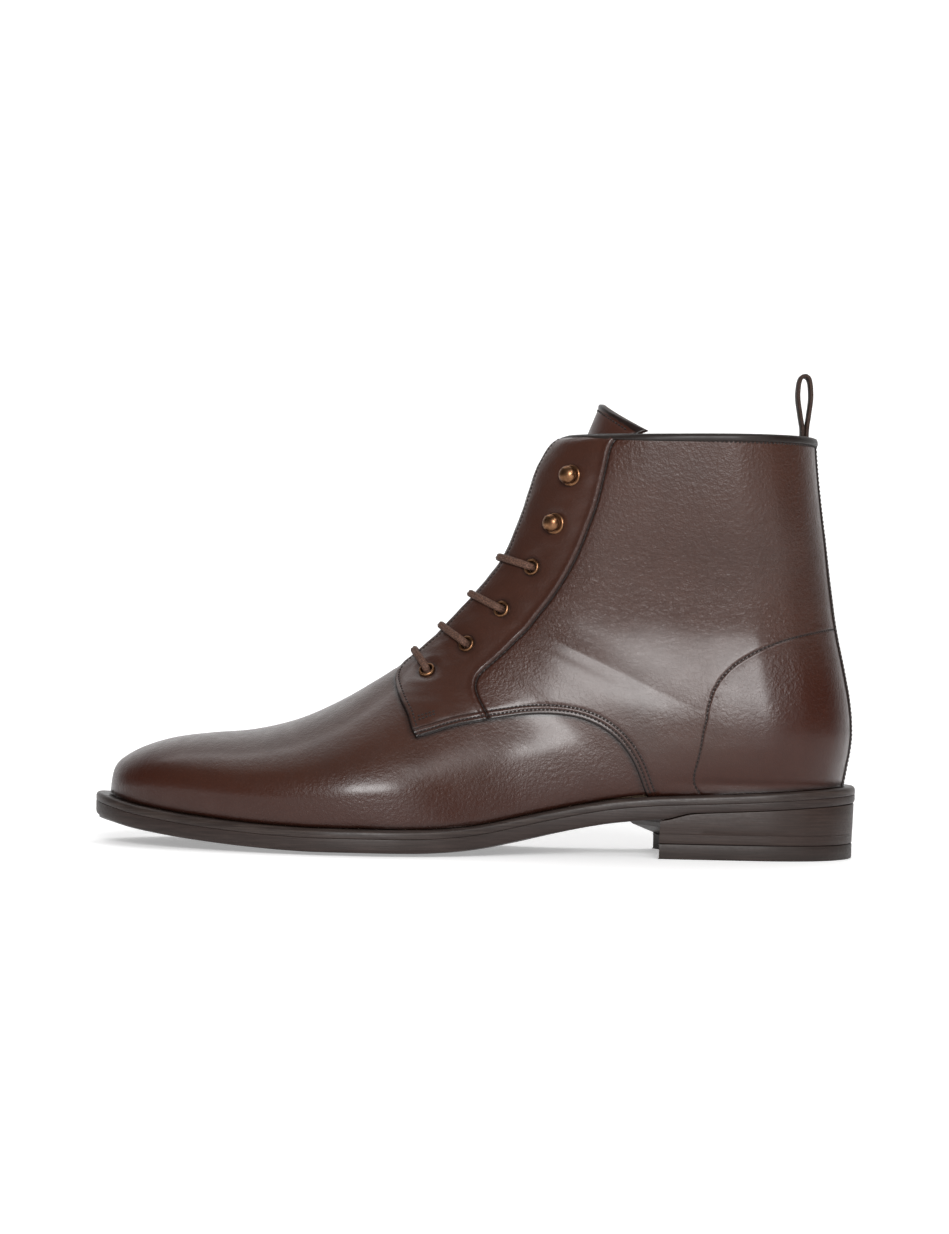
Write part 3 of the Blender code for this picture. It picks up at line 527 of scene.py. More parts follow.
def ease(x, low, high):
    k = np.clip((x - low) / (high - low), 0, 1)
    return k * k * (3 - 2 * k)


def waves(p, size, seed, count=9):
    """Gentle unevenness, about -1 to 1, with features of this size in mm."""
    rng = np.random.default_rng(seed)
    total = np.zeros(p.shape[:-1])
    for _ in range(count):
        way = rng.normal(size=3)
        way /= np.linalg.norm(way)
        total = total + np.sin(p @ way * (2 * np.pi / (size * rng.uniform(0.6, 1.6))) + rng.uniform(0, 6.28))
    return total / count * 1.6


# ---------------------------------------------------------------- the surface by row s and across w
def place(w):
    w = np.asarray(w, float)
    side = np.where(w <= 1.0, -1, 1)
    return side, np.clip(np.where(w <= 1.0, w, 2.0 - w), 0.0, 1.0)


def surf(s, w, inset=0.0):
    side, a = place(w)
    return skin(np.clip(s, 0.0, LAST_ROW), side, a, inset)


def norm(s, w):
    side, a = place(w)
    return outward(np.clip(s, 0.0, LAST_ROW), side, a)


def curve(points, per=10):
    """Catmull-Rom line through (s, w) points."""
    p = np.asarray(points, float)
    ends = np.vstack([2 * p[0] - p[1], p, 2 * p[-1] - p[-2]])
    t = np.arange(per) / per
    out = []
    for i in range(len(p) - 1):
        p0, p1, p2, p3 = ends[i : i + 4]
        c = t[:, None]
        out.append(0.5 * (2 * p1 + (p2 - p0) * c + (2 * p0 - 5 * p1 + 4 * p2 - p3) * c**2 + (3 * p1 - p0 - 3 * p2 + p3) * c**3))
    out.append(p[-1:])
    return np.vstack(out)


def even_spline(p, step):
    """Smooth curve through unevenly spaced points in a plane, with points step apart."""
    p = np.asarray(p, float)
    t = np.concatenate([[0.0], np.cumsum(np.linalg.norm(np.diff(p, axis=0), axis=1))])
    slope = np.gradient(p, t, axis=0)
    q = np.linspace(0, t[-1], max(3, int(t[-1] / step)))
    i = np.clip(np.searchsorted(t, q, side="right") - 1, 0, len(t) - 2)
    h = (t[i + 1] - t[i])[:, None]
    u = ((q - t[i])[:, None]) / h
    out = (1 + 2 * u) * (1 - u) ** 2 * p[i] + u * (1 - u) ** 2 * h * slope[i] + u * u * (3 - 2 * u) * p[i + 1] + u * u * (u - 1) * h * slope[i + 1]
    for _ in range(6):
        out[1:-1] = (out[:-2] + 2 * out[1:-1] + out[2:]) / 4
    return out


def seen(points):
    """(s, a) points joined by a line that is smooth in the side view."""
    points = np.asarray(points, float)
    p = skin(points[:, 0], -1, points[:, 1])[:, [0, 2]]
    q = even_spline(p, 1.5)
    s, a = find(q[:, 0], q[:, 1], -1)
    out = np.stack([s, a], -1)
    out[0], out[-1] = points[0], points[-1]
    return out


def lengths(p):
    return np.concatenate([[0.0], np.cumsum(np.linalg.norm(np.diff(p, axis=0), axis=1))])


def even(line, step):
    """The line with points step mm apart on the surface."""
    along = lengths(surf(line[:, 0], line[:, 1]))
    n = max(2, int(round(along[-1] / step)) + 1)
    t = np.linspace(0, along[-1], n)
    return np.stack([np.interp(t, along, line[:, k]) for k in range(line.shape[1])], -1)


def across_of(line):
    """Tangent, surface normal and sideways direction along a line."""
    p = surf(line[:, 0], line[:, 1])
    t = np.gradient(p, axis=0)
    t /= np.maximum(np.linalg.norm(t, axis=1, keepdims=True), 1e-9)
    n = norm(line[:, 0], line[:, 1])
    b = np.cross(n, t)
    b /= np.maximum(np.linalg.norm(b, axis=1, keepdims=True), 1e-9)
    return t, n, b


def shifted(line, d):
    """The line moved d mm sideways on the surface, in short steps."""
    line = np.array(line, float)
    steps = max(1, int(math.ceil(abs(d) / 1.0)))
    for _ in range(steps):
        t, n, b = across_of(line)
        s, w = line[:, 0], line[:, 1]
        e, f = 0.02, 0.002
        ps = (surf(s + e, w) - surf(s - e, w)) / np.maximum(np.clip(s + e, 0, LAST_ROW) - np.clip(s - e, 0, LAST_ROW), 0.01)[:, None]
        pw = (surf(s, w + f) - surf(s, w - f)) / (2 * f)
        g11, g12, g22 = (ps * ps).sum(1), (ps * pw).sum(1), (pw * pw).sum(1)
        r1, r2 = (ps * b).sum(1), (pw * b).sum(1)
        det = np.maximum(g11 * g22 - g12 * g12, 1e-6)
        line[:, 0] += np.clip((g22 * r1 - g12 * r2) / det * d / steps, -1.2, 1.2)
        line[:, 1] += np.clip((g11 * r2 - g12 * r1) / det * d / steps, -0.03, 0.03)
        line[:, 0] = np.clip(line[:, 0], 0.0, LAST_ROW)
        line[:, 1] = np.clip(line[:, 1], 0.0, 2.0)
    return line


SX, WX = 9.0, 120.0


class Line:
    """A line on the surface, with signed distance to it."""

    def __init__(self, points, step=1.2, smooth_it=True):
        self.sw = even(curve(points) if smooth_it else np.asarray(points, float), step)
        self.p = surf(self.sw[:, 0], self.sw[:, 1])

    def distance(self, s, w):
        q = surf(s, w)
        a, ab = self.p[:-1], np.diff(self.p, axis=0)
        size = np.maximum((ab * ab).sum(1), 1e-12)
        flat = self.sw * (SX, WX)
        fa, fab = flat[:-1], np.diff(flat, axis=0)
        x = np.stack([np.asarray(s, float) * SX, np.asarray(w, float) * WX], -1)
        out = np.empty(len(q))
        for k in range(0, len(q), 3000):
            part = slice(k, k + 3000)
            d = q[part, None, :] - a[None]
            t = np.clip((d * ab).sum(2) / size, 0, 1)
            gap = ((d - t[..., None] * ab) ** 2).sum(2)
            best = gap.argmin(1)
            rows = np.arange(len(best))
            to = x[part] - fa[best]
            sign = np.sign(fab[best, 0] * to[:, 1] - fab[best, 1] * to[:, 0])
            out[part] = np.sqrt(gap[rows, best]) * np.where(sign == 0, 1, sign)
        return out


def inside(ring, x):
    """Which of the points x lie inside the closed ring, both in the flat."""
    a, b = ring, np.roll(ring, -1, axis=0)
    out = np.zeros(len(x), bool)
    for k in range(0, len(x), 4000):
        px, py = x[k : k + 4000, 0][:, None], x[k : k + 4000, 1][:, None]
        cross = (a[:, 1] > py) != (b[:, 1] > py)
        with np.errstate(divide="ignore", invalid="ignore"):
            at = (b[:, 0] - a[:, 0]) * (py - a[:, 1]) / (b[:, 1] - a[:, 1]) + a[:, 0]
        out[k : k + 4000] = (np.where(cross, px < at, False).sum(1) % 2).astype(bool)
    return out


def lattice(s0, s1, w0, w1, pitch):
    """Evenly spread (s, w) points, the same on both sides of the ridge."""
    fine = np.arange(s0, s1 + 0.02, 0.02)
    a = np.linspace(0, 1, 101)
    p = np.stack([surf(fine, np.full(len(fine), v)) for v in a], 1)
    step = np.linalg.norm(np.diff(p, axis=0), axis=2)
    along = np.concatenate([[0], np.cumsum(step.max(1))])
    count = int(along[-1] / pitch)
    rows = np.interp(np.linspace(0, along[-1], count + 1), along, fine)
    out = []
    for i, s in enumerate(rows):
        run = lengths(surf(np.full(101, s), a))
        n = max(3, int(run[-1] / pitch))
        shift = 0.5 if i % 2 else 0.0
        at = np.interp((np.arange(n) + shift) / n * run[-1], run, a)
        for w in (at, 2 - at):
            w = w[(w >= w0) & (w <= w1)]
            out.append(np.stack([np.full(len(w), s), w], -1))
    return np.vstack(out)


def panel(name, ring, shape, look, pitch, rims=(), lines=(), holes=(), **rest):
    """A sheet of leather over the surface. ring is its outline, rims are raw edges with rounded
    top and a wall down, lines are (Line, offsets) that the mesh follows, and holes are (s, w, r).
    shape(s, w) gives the height over the surface and the attributes."""
    points, edges = [], []

    def add(line, closed=False):
        start = len(points)
        points.extend(map(tuple, line))
        edges.extend((start + i, start + i + 1) for i in range(len(line) - 1))
        if closed:
            edges.append((start + len(line) - 1, start))

    add(ring, True)
    flat_ring = np.asarray(ring) * (SX, WX)
    clear = []
    for line, offsets in lines:
        for d in offsets:
            moved = shifted(line.sw, d) if d else line.sw
            ok = inside(flat_ring, moved * (SX, WX))
            run = []
            for k, good in enumerate(ok):
                if good:
                    run.append(moved[k])
                if run and (not good or k == len(ok) - 1):
                    if len(run) > 1:
                        add(np.array(run))
                    run = []
        clear.append((line, min(offsets), max(offsets)))
    for s, w, r in holes:
        at = surf(np.array([s]), np.array([w]))[0]
        n = norm(np.array([s]), np.array([w]))[0]
        e, f = 0.05, 0.004
        ps = (surf(s + e, w) - surf(s - e, w)) / (2 * e)
        pw = (surf(s, w + f) - surf(s, w - f)) / (2 * f)
        u = ps / np.linalg.norm(ps)
        v = np.cross(n, u)
        basis = np.array([[ps @ ps, ps @ pw], [ps @ pw, pw @ pw]])
        for radius, count in ((r, 24), (r + 0.7, 24), (r + 1.6, 24), (r + 2.8, 24)):
            loop = []
            for k in range(count):
                way = (u * math.cos(2 * math.pi * k / count) + v * math.sin(2 * math.pi * k / count)) * radius
                ds, dw = np.linalg.solve(basis, np.array([ps @ way, pw @ way]))
                loop.append((s + ds, w + dw))
            add(np.array(loop), True)
    low, high = np.min(ring, axis=0), np.max(ring, axis=0)
    loose = lattice(low[0], high[0], low[1], high[1], pitch)
    loose = loose[inside(flat_ring, loose * (SX, WX))]
    keep = np.abs(Line(np.vstack([ring, ring[:1]]), 1.2, False).distance(loose[:, 0], loose[:, 1])) > pitch * 0.45
    for line, lo, hi in clear:
        d = line.distance(loose[:, 0], loose[:, 1])
        keep &= (d < lo - pitch * 0.4) | (d > hi + pitch * 0.4)
    for s, w, r in holes:
        d = np.linalg.norm(surf(loose[:, 0], loose[:, 1]) - surf(np.array([s]), np.array([w])), axis=1)
        keep &= d > r + 3.3
    loose = loose[keep]
    points.extend(map(tuple, loose))
    flat = [Vector((p[0] * SX, p[1] * WX)) for p in points]
    made = delaunay_2d_cdt(flat, edges, [], 0, 1e-5)
    xy = np.array([(v.x, v.y) for v in made[0]])
    tri = np.array([f for f in made[2] if len(f) == 3], int)
    middle = xy[tri].mean(1)
    good = inside(flat_ring, middle)
    s, w = xy[:, 0] / SX, xy[:, 1] / WX
    for hs, hw, r in holes:
        d = np.linalg.norm(surf(middle[:, 0] / SX, middle[:, 1] / WX) - surf(np.array([hs]), np.array([hw])), axis=1)
        good &= d > r * 0.97
    tri = tri[good]
    height, attributes = shape(s, w)
    p = surf(s, w) + norm(s, w) * height[:, None]
    turn = np.cross(p[tri[:, 1]] - p[tri[:, 0]], p[tri[:, 2]] - p[tri[:, 0]])
    flip = (turn * norm(middle[good][:, 0] / SX, middle[good][:, 1] / WX)).sum(1) < 0
    tri[flip] = tri[flip][:, ::-1]
    all_points, faces = [p], tri.tolist()
    extra = {k: [v] for k, v in attributes.items()}
    count = len(p)
    for line, depth in rims:
        s, w = line[:, 0], line[:, 1]
        top, values = shape(s, w)
        base, n = surf(s, w), norm(s, w)
        rows = [base + n * (top - depth * k)[:, None] for k in (0.0, 0.35, 1.0)]
        all_points += rows
        faces += grid_faces(3, len(line), count)
        count += 3 * len(line)
        for key in extra:
            # The rim walls take the full painted shade colour through the edge mask.
            extra[key] += [np.ones(len(line)) if key == "edge" else values[key]] * 3
    return put(name, np.vstack(all_points), faces, look, {k: np.concatenate(v) for k, v in extra.items()}, **rest)


# ---------------------------------------------------------------- swept pieces and threads
def sweep(path, normals, profile, closed_profile=True, caps=True):
    """Points and faces of a profile of (sideways, out) pairs moved along a path; profile may be a list per point."""
    path = np.asarray(path, float)
    t = np.gradient(path, axis=0)
    t /= np.maximum(np.linalg.norm(t, axis=1, keepdims=True), 1e-9)
    n = np.asarray(normals, float)
    n = n - (n * t).sum(1, keepdims=True) * t
    n /= np.maximum(np.linalg.norm(n, axis=1, keepdims=True), 1e-9)
    b = np.cross(t, n)
    profile = np.asarray(profile, float)
    if profile.ndim == 2:
        profile = np.broadcast_to(profile, (len(path),) + profile.shape)
    points = path[:, None] + b[:, None] * profile[..., :1] + n[:, None] * profile[..., 1:]
    cols = profile.shape[1]
    faces = grid_faces(len(path), cols, 0, closed_profile)
    if caps and closed_profile:
        last = (len(path) - 1) * cols
        faces += [list(range(cols)), list(range(last + cols - 1, last - 1, -1))]
    return points.reshape(-1, 3), faces


def oval(width, height, count=14, power=2.0):
    w = np.linspace(0, 2 * np.pi, count, endpoint=False)
    c, s = np.cos(w), np.sin(w)
    return np.stack([np.sign(c) * np.abs(c) ** (2 / power) * width, np.sign(s) * np.abs(s) ** (2 / power) * height], -1)


STITCH_RINGS = [(-0.52, -0.25, 0.10), (-0.44, -0.02, 0.75), (-0.22, 0.12, 1.0), (0.0, 0.16, 1.06), (0.22, 0.12, 1.0), (0.44, -0.02, 0.75), (0.52, -0.25, 0.10)]


class Threads:
    """Stitches collected into one mesh."""

    def __init__(self):
        self.points, self.faces, self.count = [], [], 0

    def stitch(self, at, along, out, length=1.25, radius=0.24, turn=0.0):
        side = np.cross(out, along)
        along = along * math.cos(turn) + side * math.sin(turn)
        side = np.cross(out, along)
        cols = 7
        ring = oval(radius * 1.15, radius, cols)
        for at_x, lift, size in STITCH_RINGS:
            centre = at + along * at_x * length + out * lift * radius * 2
            self.points.append(centre + side * ring[:, :1] * size + out * ring[:, 1:] * size)
        self.faces += (np.array(grid_faces(len(STITCH_RINGS), cols, 0, True)) + self.count).tolist()
        self.count += len(STITCH_RINGS) * cols

    def row(self, line, height, pitch=1.6, length=1.15, radius=0.24, start=0.0, end=0.0, turn=0.06):
        """Stitches along a line on the surface; height(s, w) is where the leather lies."""
        fine = even(line, 0.4)
        run = lengths(surf(fine[:, 0], fine[:, 1]))
        n = int((run[-1] - start - end) / pitch)
        at = start + (np.arange(n) + 0.5) * pitch
        s, w = np.interp(at, run, fine[:, 0]), np.interp(at, run, fine[:, 1])
        base, out = surf(s, w), norm(s, w)
        h = height(s, w)
        full = surf(fine[:, 0], fine[:, 1])
        way = np.gradient(full, axis=0)
        t = np.stack([np.interp(at, run, way[:, k]) for k in range(3)], -1)
        t -= (t * out).sum(1, keepdims=True) * out
        t /= np.maximum(np.linalg.norm(t, axis=1, keepdims=True), 1e-9)
        for k in range(n):
            self.stitch(base[k] + out[k] * h[k], t[k], out[k], length, radius, turn)

    def made(self, name, look, slot="lace_cord"):
        return put(name, np.vstack(self.points), self.faces, look, weld=0, slot=slot)


# ---------------------------------------------------------------- materials
class Look:
    """A Principled material with helper calls for its nodes."""

    def __init__(self, name, rough=0.5, metal=0.0, coat=0.0, coat_rough=0.2, specular=0.5, sheen=0.0):
        self.m = bpy.data.materials.new(name)
        self.m.use_nodes = True
        self.t = self.m.node_tree
        self.b = next(n for n in self.t.nodes if n.type == "BSDF_PRINCIPLED")
        for key, value in (("Roughness", rough), ("Metallic", metal), ("Coat Weight", coat), ("Coat Roughness", coat_rough), ("Specular IOR Level", specular), ("Sheen Weight", sheen)):
            self.b.inputs[key].default_value = value
        self.at = self.node("ShaderNodeTexCoord").outputs["Object"]

    def node(self, kind, **values):
        n = self.t.nodes.new(kind)
        for key, value in values.items():
            setattr(n, key, value)
        return n

    def to(self, a, b):
        if hasattr(a, "is_output"):
            self.t.links.new(a, b)
        else:
            b.default_value = a

    def stretch(self, x, y, z):
        n = self.node("ShaderNodeMapping")
        n.inputs["Scale"].default_value = (x, y, z)
        self.to(self.at, n.inputs["Vector"])
        return n.outputs["Vector"]

    def noise(self, scale, detail=3.0, rough=0.5, at=None, distortion=0.0):
        n = self.node("ShaderNodeTexNoise")
        self.to(at or self.at, n.inputs["Vector"])
        n.inputs["Scale"].default_value = scale
        n.inputs["Detail"].default_value = detail
        n.inputs["Roughness"].default_value = rough
        n.inputs["Distortion"].default_value = distortion
        return n.outputs["Fac"]

    def cells(self, scale, feature="F1", at=None, random=1.0):
        n = self.node("ShaderNodeTexVoronoi", feature=feature)
        self.to(at or self.at, n.inputs["Vector"])
        n.inputs["Scale"].default_value = scale
        n.inputs["Randomness"].default_value = random
        return n.outputs["Distance"]

    def math(self, operation, a, b=0.0, c=None):
        n = self.node("ShaderNodeMath", operation=operation)
        self.to(a, n.inputs[0])
        self.to(b, n.inputs[1])
        if c is not None:
            self.to(c, n.inputs[2])
        return n.outputs[0]

    def fit(self, value, low, high, to_low=0.0, to_high=1.0):
        n = self.node("ShaderNodeMapRange")
        self.to(value, n.inputs["Value"])
        for key, v in (("From Min", low), ("From Max", high), ("To Min", to_low), ("To Max", to_high)):
            n.inputs[key].default_value = v
        return n.outputs["Result"]

    def mix(self, factor, a, b, blend="MIX"):
        n = self.node("ShaderNodeMix", data_type="RGBA", blend_type=blend)
        self.to(factor, n.inputs[0])
        for value, socket in ((a, n.inputs[6]), (b, n.inputs[7])):
            if isinstance(value, tuple):
                socket.default_value = (*value, 1.0)
            else:
                self.to(value, socket)
        return n.outputs[2]

    def given(self, name):
        return self.node("ShaderNodeAttribute", attribute_name=name).outputs["Fac"]

    def done(self, colour, rough=None, bump=None, strength=1.0, depth=0.0002):
        self.to(colour, self.b.inputs["Base Color"])
        if rough is not None:
            self.to(rough, self.b.inputs["Roughness"])
        if bump is not None:
            n = self.node("ShaderNodeBump")
            n.inputs["Strength"].default_value = strength
            n.inputs["Distance"].default_value = depth
            self.to(bump, n.inputs["Height"])
            self.to(n.outputs["Normal"], self.b.inputs["Normal"])
        return self.m


def calf(name, plain, red, shade_colour, grainy=1.0, rough=0.33, coat=0.24):
    """Polished calf: burnished, with painted shade at edges and seams, pebbled grain and fine creases where told."""
    k = Look(name, rough=rough, coat=coat, coat_rough=0.22, specular=0.27)
    burnish, edge, grain, crease = (k.given(v) for v in ("burnish", "edge", "grain", "crease"))
    clouds = k.noise(28.0, 4.0, 0.55)
    mottle = k.noise(170.0, 3.0, 0.6)
    colour = k.mix(k.fit(clouds, 0.35, 0.7), plain, tuple(v * 0.80 for v in plain))
    colour = k.mix(k.math("MULTIPLY", burnish, k.fit(mottle, 0.2, 0.6, 0.75, 1.0)), colour, red)
    colour = k.mix(k.fit(mottle, 0.25, 0.8, 0.0, 0.22), colour, tuple(v * 0.45 for v in plain))
    # The edge mask mixes in the painted shade colour along raw edges, seams, stitch lines and round the eyelets.
    colour = k.mix(edge, colour, shade_colour)
    pebble = k.cells(760.0, "SMOOTH_F1")
    pebble_small = k.cells(1500.0, "F1")
    pores = k.noise(2600.0, 2.0, 0.6)
    lines = k.noise(90.0, 6.0, 0.62, at=k.stretch(2.4, 2.4, 7.0), distortion=0.8)
    ridged = k.math("ABSOLUTE", k.math("SUBTRACT", lines, 0.5))
    lines_fit = k.fit(ridged, 0.0, 0.06)
    height = k.math("MULTIPLY", k.math("ADD", pebble, k.math("MULTIPLY", pebble_small, 0.5)), k.math("MULTIPLY", grain, 0.55 * grainy))
    height = k.math("ADD", height, k.math("MULTIPLY", pores, 0.16))
    height = k.math("ADD", height, k.math("MULTIPLY", lines_fit, k.math("MULTIPLY", crease, 0.45)))
    height = k.math("ADD", height, k.math("MULTIPLY", mottle, 0.25))
    roughness = k.math("ADD", k.fit(mottle, 0.3, 0.7, rough - 0.04, rough + 0.06), k.math("MULTIPLY", grain, 0.05))
    return k.done(colour, roughness, height, 0.9, 0.00045)


def sole_look(name, plain, streak, rough=0.5):
    """Dressed leather edge or rubber with fine level lines."""
    k = Look(name, rough=rough, coat=0.05, coat_rough=0.3, specular=0.25)
    lines = k.noise(60.0, 5.0, 0.65, at=k.stretch(1.0, 1.0, 26.0))
    fine = k.noise(900.0, 3.0, 0.6)
    broad = k.noise(40.0, 3.0)
    colour = k.mix(k.fit(lines, 0.42, 0.62), plain, streak)
    colour = k.mix(k.fit(broad, 0.3, 0.7, 0.0, 0.35), colour, tuple(v * 0.6 for v in plain))
    height = k.math("ADD", k.math("MULTIPLY", lines, 0.8), k.math("MULTIPLY", fine, 0.25))
    return k.done(colour, k.fit(fine, 0.3, 0.7, rough - 0.07, rough + 0.07), height, 0.35, 0.0003)


def metal_look(name):
    k = Look(name, rough=0.33, metal=1.0, specular=0.5)
    spots = k.noise(420.0, 4.0, 0.6)
    broad = k.noise(120.0, 2.0)
    colour = k.mix(k.fit(spots, 0.38, 0.68), (0.235, 0.118, 0.060), (0.10, 0.046, 0.024))
    colour = k.mix(k.fit(broad, 0.4, 0.7, 0.0, 0.5), colour, (0.31, 0.165, 0.085))
    return k.done(colour, k.fit(spots, 0.3, 0.7, 0.24, 0.42), spots, 0.15, 0.0001)


def thread_look(name, colour, scale=2400.0):
    k = Look(name, rough=0.7, specular=0.3, sheen=0.1)
    twist = k.noise(scale, 2.0, 0.5)
    return k.done(k.mix(k.fit(twist, 0.35, 0.65), colour, tuple(v * 0.4 for v in colour)), k.fit(twist, 0.3, 0.7, 0.6, 0.8), twist, 0.5, 0.0001)


def cord_look(name, colour):
    k = Look(name, rough=0.72, specular=0.25)
    weave = k.cells(1500.0, "F1")
    fuzz = k.noise(3200.0, 3.0, 0.6)
    colour = k.mix(k.fit(weave, 0.1, 0.6), colour, tuple(v * 0.38 for v in colour))
    return k.done(k.mix(k.fit(fuzz, 0.4, 0.7, 0.0, 0.4), colour, tuple(v * 0.5 for v in (0.16, 0.09, 0.065))), k.fit(fuzz, 0.3, 0.7, 0.62, 0.82), weave, 0.6, 0.00025)


def lining_look(name, plain):
    k = Look(name, rough=0.55, coat=0.05, coat_rough=0.4)
    clouds, pores = k.noise(35.0, 4.0), k.noise(1500.0, 3.0, 0.65)
    colour = k.mix(k.fit(clouds, 0.35, 0.7), plain, tuple(v * 0.72 for v in plain))
    return k.done(k.mix(k.fit(pores, 0.45, 0.7, 0.0, 0.3), colour, tuple(v * 0.5 for v in plain)), k.fit(pores, 0.3, 0.7, 0.5, 0.65), pores, 0.4, 0.0002)


# The third colour is painted shade, mixed in through the edge mask.
PLAIN, RED, SHADE_COLOUR = (0.0435, 0.0162, 0.0100), (0.0300, 0.0058, 0.0019), (0.0060, 0.0030, 0.0023)
CALF = calf("calf", PLAIN, RED, SHADE_COLOUR)
STRIP_CALF = calf("strip_calf", (0.034, 0.0155, 0.0105), RED, SHADE_COLOUR, 0.5, 0.42, 0.12)
BIND_CALF = calf("binding_calf", (0.0125, 0.0072, 0.0056), RED, SHADE_COLOUR, 0.4, 0.45, 0.05)
TONGUE_CALF = calf("tongue_calf", (0.055, 0.018, 0.0105), RED, SHADE_COLOUR, 0.4, 0.40, 0.15)
SOLE_EDGE = sole_look("sole_edge_leather", (0.020, 0.0125, 0.0105), (0.034, 0.022, 0.019))
WELT_EDGE = sole_look("welt_leather", (0.021, 0.0135, 0.0115), (0.045, 0.032, 0.027), 0.42)
HEEL_EDGE = sole_look("heel_lift_leather", (0.023, 0.0135, 0.0108), (0.034, 0.0205, 0.0165))
RUBBER_LOOK = sole_look("rubber_top_piece", (0.020, 0.0135, 0.0115), (0.030, 0.020, 0.017), 0.55)
BRASS_LOOK = metal_look("antique_brass_finish")
THREAD = thread_look("dark_thread", (0.016, 0.008, 0.006))
RED_THREAD = thread_look("brown_thread", (0.060, 0.022, 0.013))
CORD_LOOK = cord_look("waxed_lace", (0.150, 0.074, 0.050))
WEB_LOOK = cord_look("loop_web", (0.045, 0.024, 0.018))
LINING_LOOK = lining_look("lining_leather", (0.30, 0.20, 0.125))
INSOLE_LOOK = lining_look("insole_cover", (0.36, 0.25, 0.16))


# ---------------------------------------------------------------- upper: outlines and seams
QUARTER_LOW = [(9.55, 0.564), (9.97, 0.558), (10.45, 0.552), (10.95, 0.538), (11.45, 0.523), (11.94, 0.508), (12.46, 0.495), (12.96, 0.480), (13.43, 0.462), (13.87, 0.438), (14.09, 0.408), (14.08, 0.364), (13.87, 0.310), (13.55, 0.245), (13.27, 0.176), (13.10, 0.113), (13.0, 0.0)]
TAB_FRONT = [(9.55, 0.564), (9.51, 0.60), (9.52, 0.66), (9.47, 0.726), (9.46, 0.817), (9.54, 0.873), (9.75, 0.914)]
FACING_SEAM = [(31.0, 0.604), (30.2, 0.597), (29.35, 0.590), (28.57, 0.580), (27.86, 0.577), (27.20, 0.582), (26.30, 0.592), (25.92, 0.600), (24.79, 0.621), (23.99, 0.638), (23.0, 0.657), (21.89, 0.674), (20.79, 0.686), (18.93, 0.691), (17.0, 0.686), (15.04, 0.677), (13.12, 0.663), (12.30, 0.652), (11.90, 0.629), (11.74, 0.600), (11.63, 0.563), (11.52, 0.525)]
COUNTER = [(14.10, 0.0), (14.15, 0.104), (15.72, 0.259), (19.38, 0.359), (21.02, 0.358), (22.04, 0.341), (22.84, 0.301), (23.54, 0.239), (24.04, 0.157), (24.30, 0.074), (24.36, 0.0)]
EYELETS_SA = [(10.70, 0.777), (13.62, 0.769), (20.20, 0.781), (23.43, 0.757)]
STUDS_SA = [(25.55, 0.718), (27.69, 0.694)]


QUARTER_LOW = seen(QUARTER_LOW)
FACING_SEAM = seen(FACING_SEAM)
COUNTER = seen(COUNTER)


def to_side(points, side):
    return [(s, a if side < 0 else 2 - a) for s, a in points]


def slot_edge(s, side):
    a = level(s, side, throat_half(np.asarray(s, float)))
    return a


BRIM = []
for side_now in (-1, 1):
    rows = np.concatenate([np.linspace(10.0, 30.0, 41), [30.35]])
    top = np.stack([rows, slot_edge(rows, side_now)], -1)
    end = top[-1][1]
    corner = curve([(30.35, end), (30.72, end - 0.006), (30.93, end - 0.026), (31.0, end - 0.060), (31.0, end - 0.11)], 6)
    BRIM.append(np.vstack([[(9.75, 0.914)], top, corner[1:]]))


def body_height(s, w):
    """Where the leather lies apart from seams: sunk under the back strip, softly uneven."""
    p = surf(s, w)
    back = bell(p[:, 1] - SIDE_SHIFT, 13.0) * ease(p[:, 0], 95.0, 125.0)
    return 0.5 - 1.05 * back + 0.10 * waves(p, 34.0, 3) - 0.35 * bell((31.0 - s) * 5.0, 2.6), p


def look_of(p):
    foot = p[:, 2] - np.interp(p[:, 0], [r[0] for r in WELT_TOP], [r[1] for r in WELT_TOP])
    toe = ease(-p[:, 0], 96.0, 142.0)
    heel = ease(p[:, 0], 84.0, 118.0) * (1 - ease(p[:, 2], 62.0, 96.0))
    low = (1 - ease(foot, 6.0, 24.0)) * 0.85
    burnish = np.clip(np.maximum(np.maximum(toe, heel), low), 0, 1)
    shade = (1 - ease(foot, 0.0, 2.6)) * 0.8
    return burnish, shade, foot


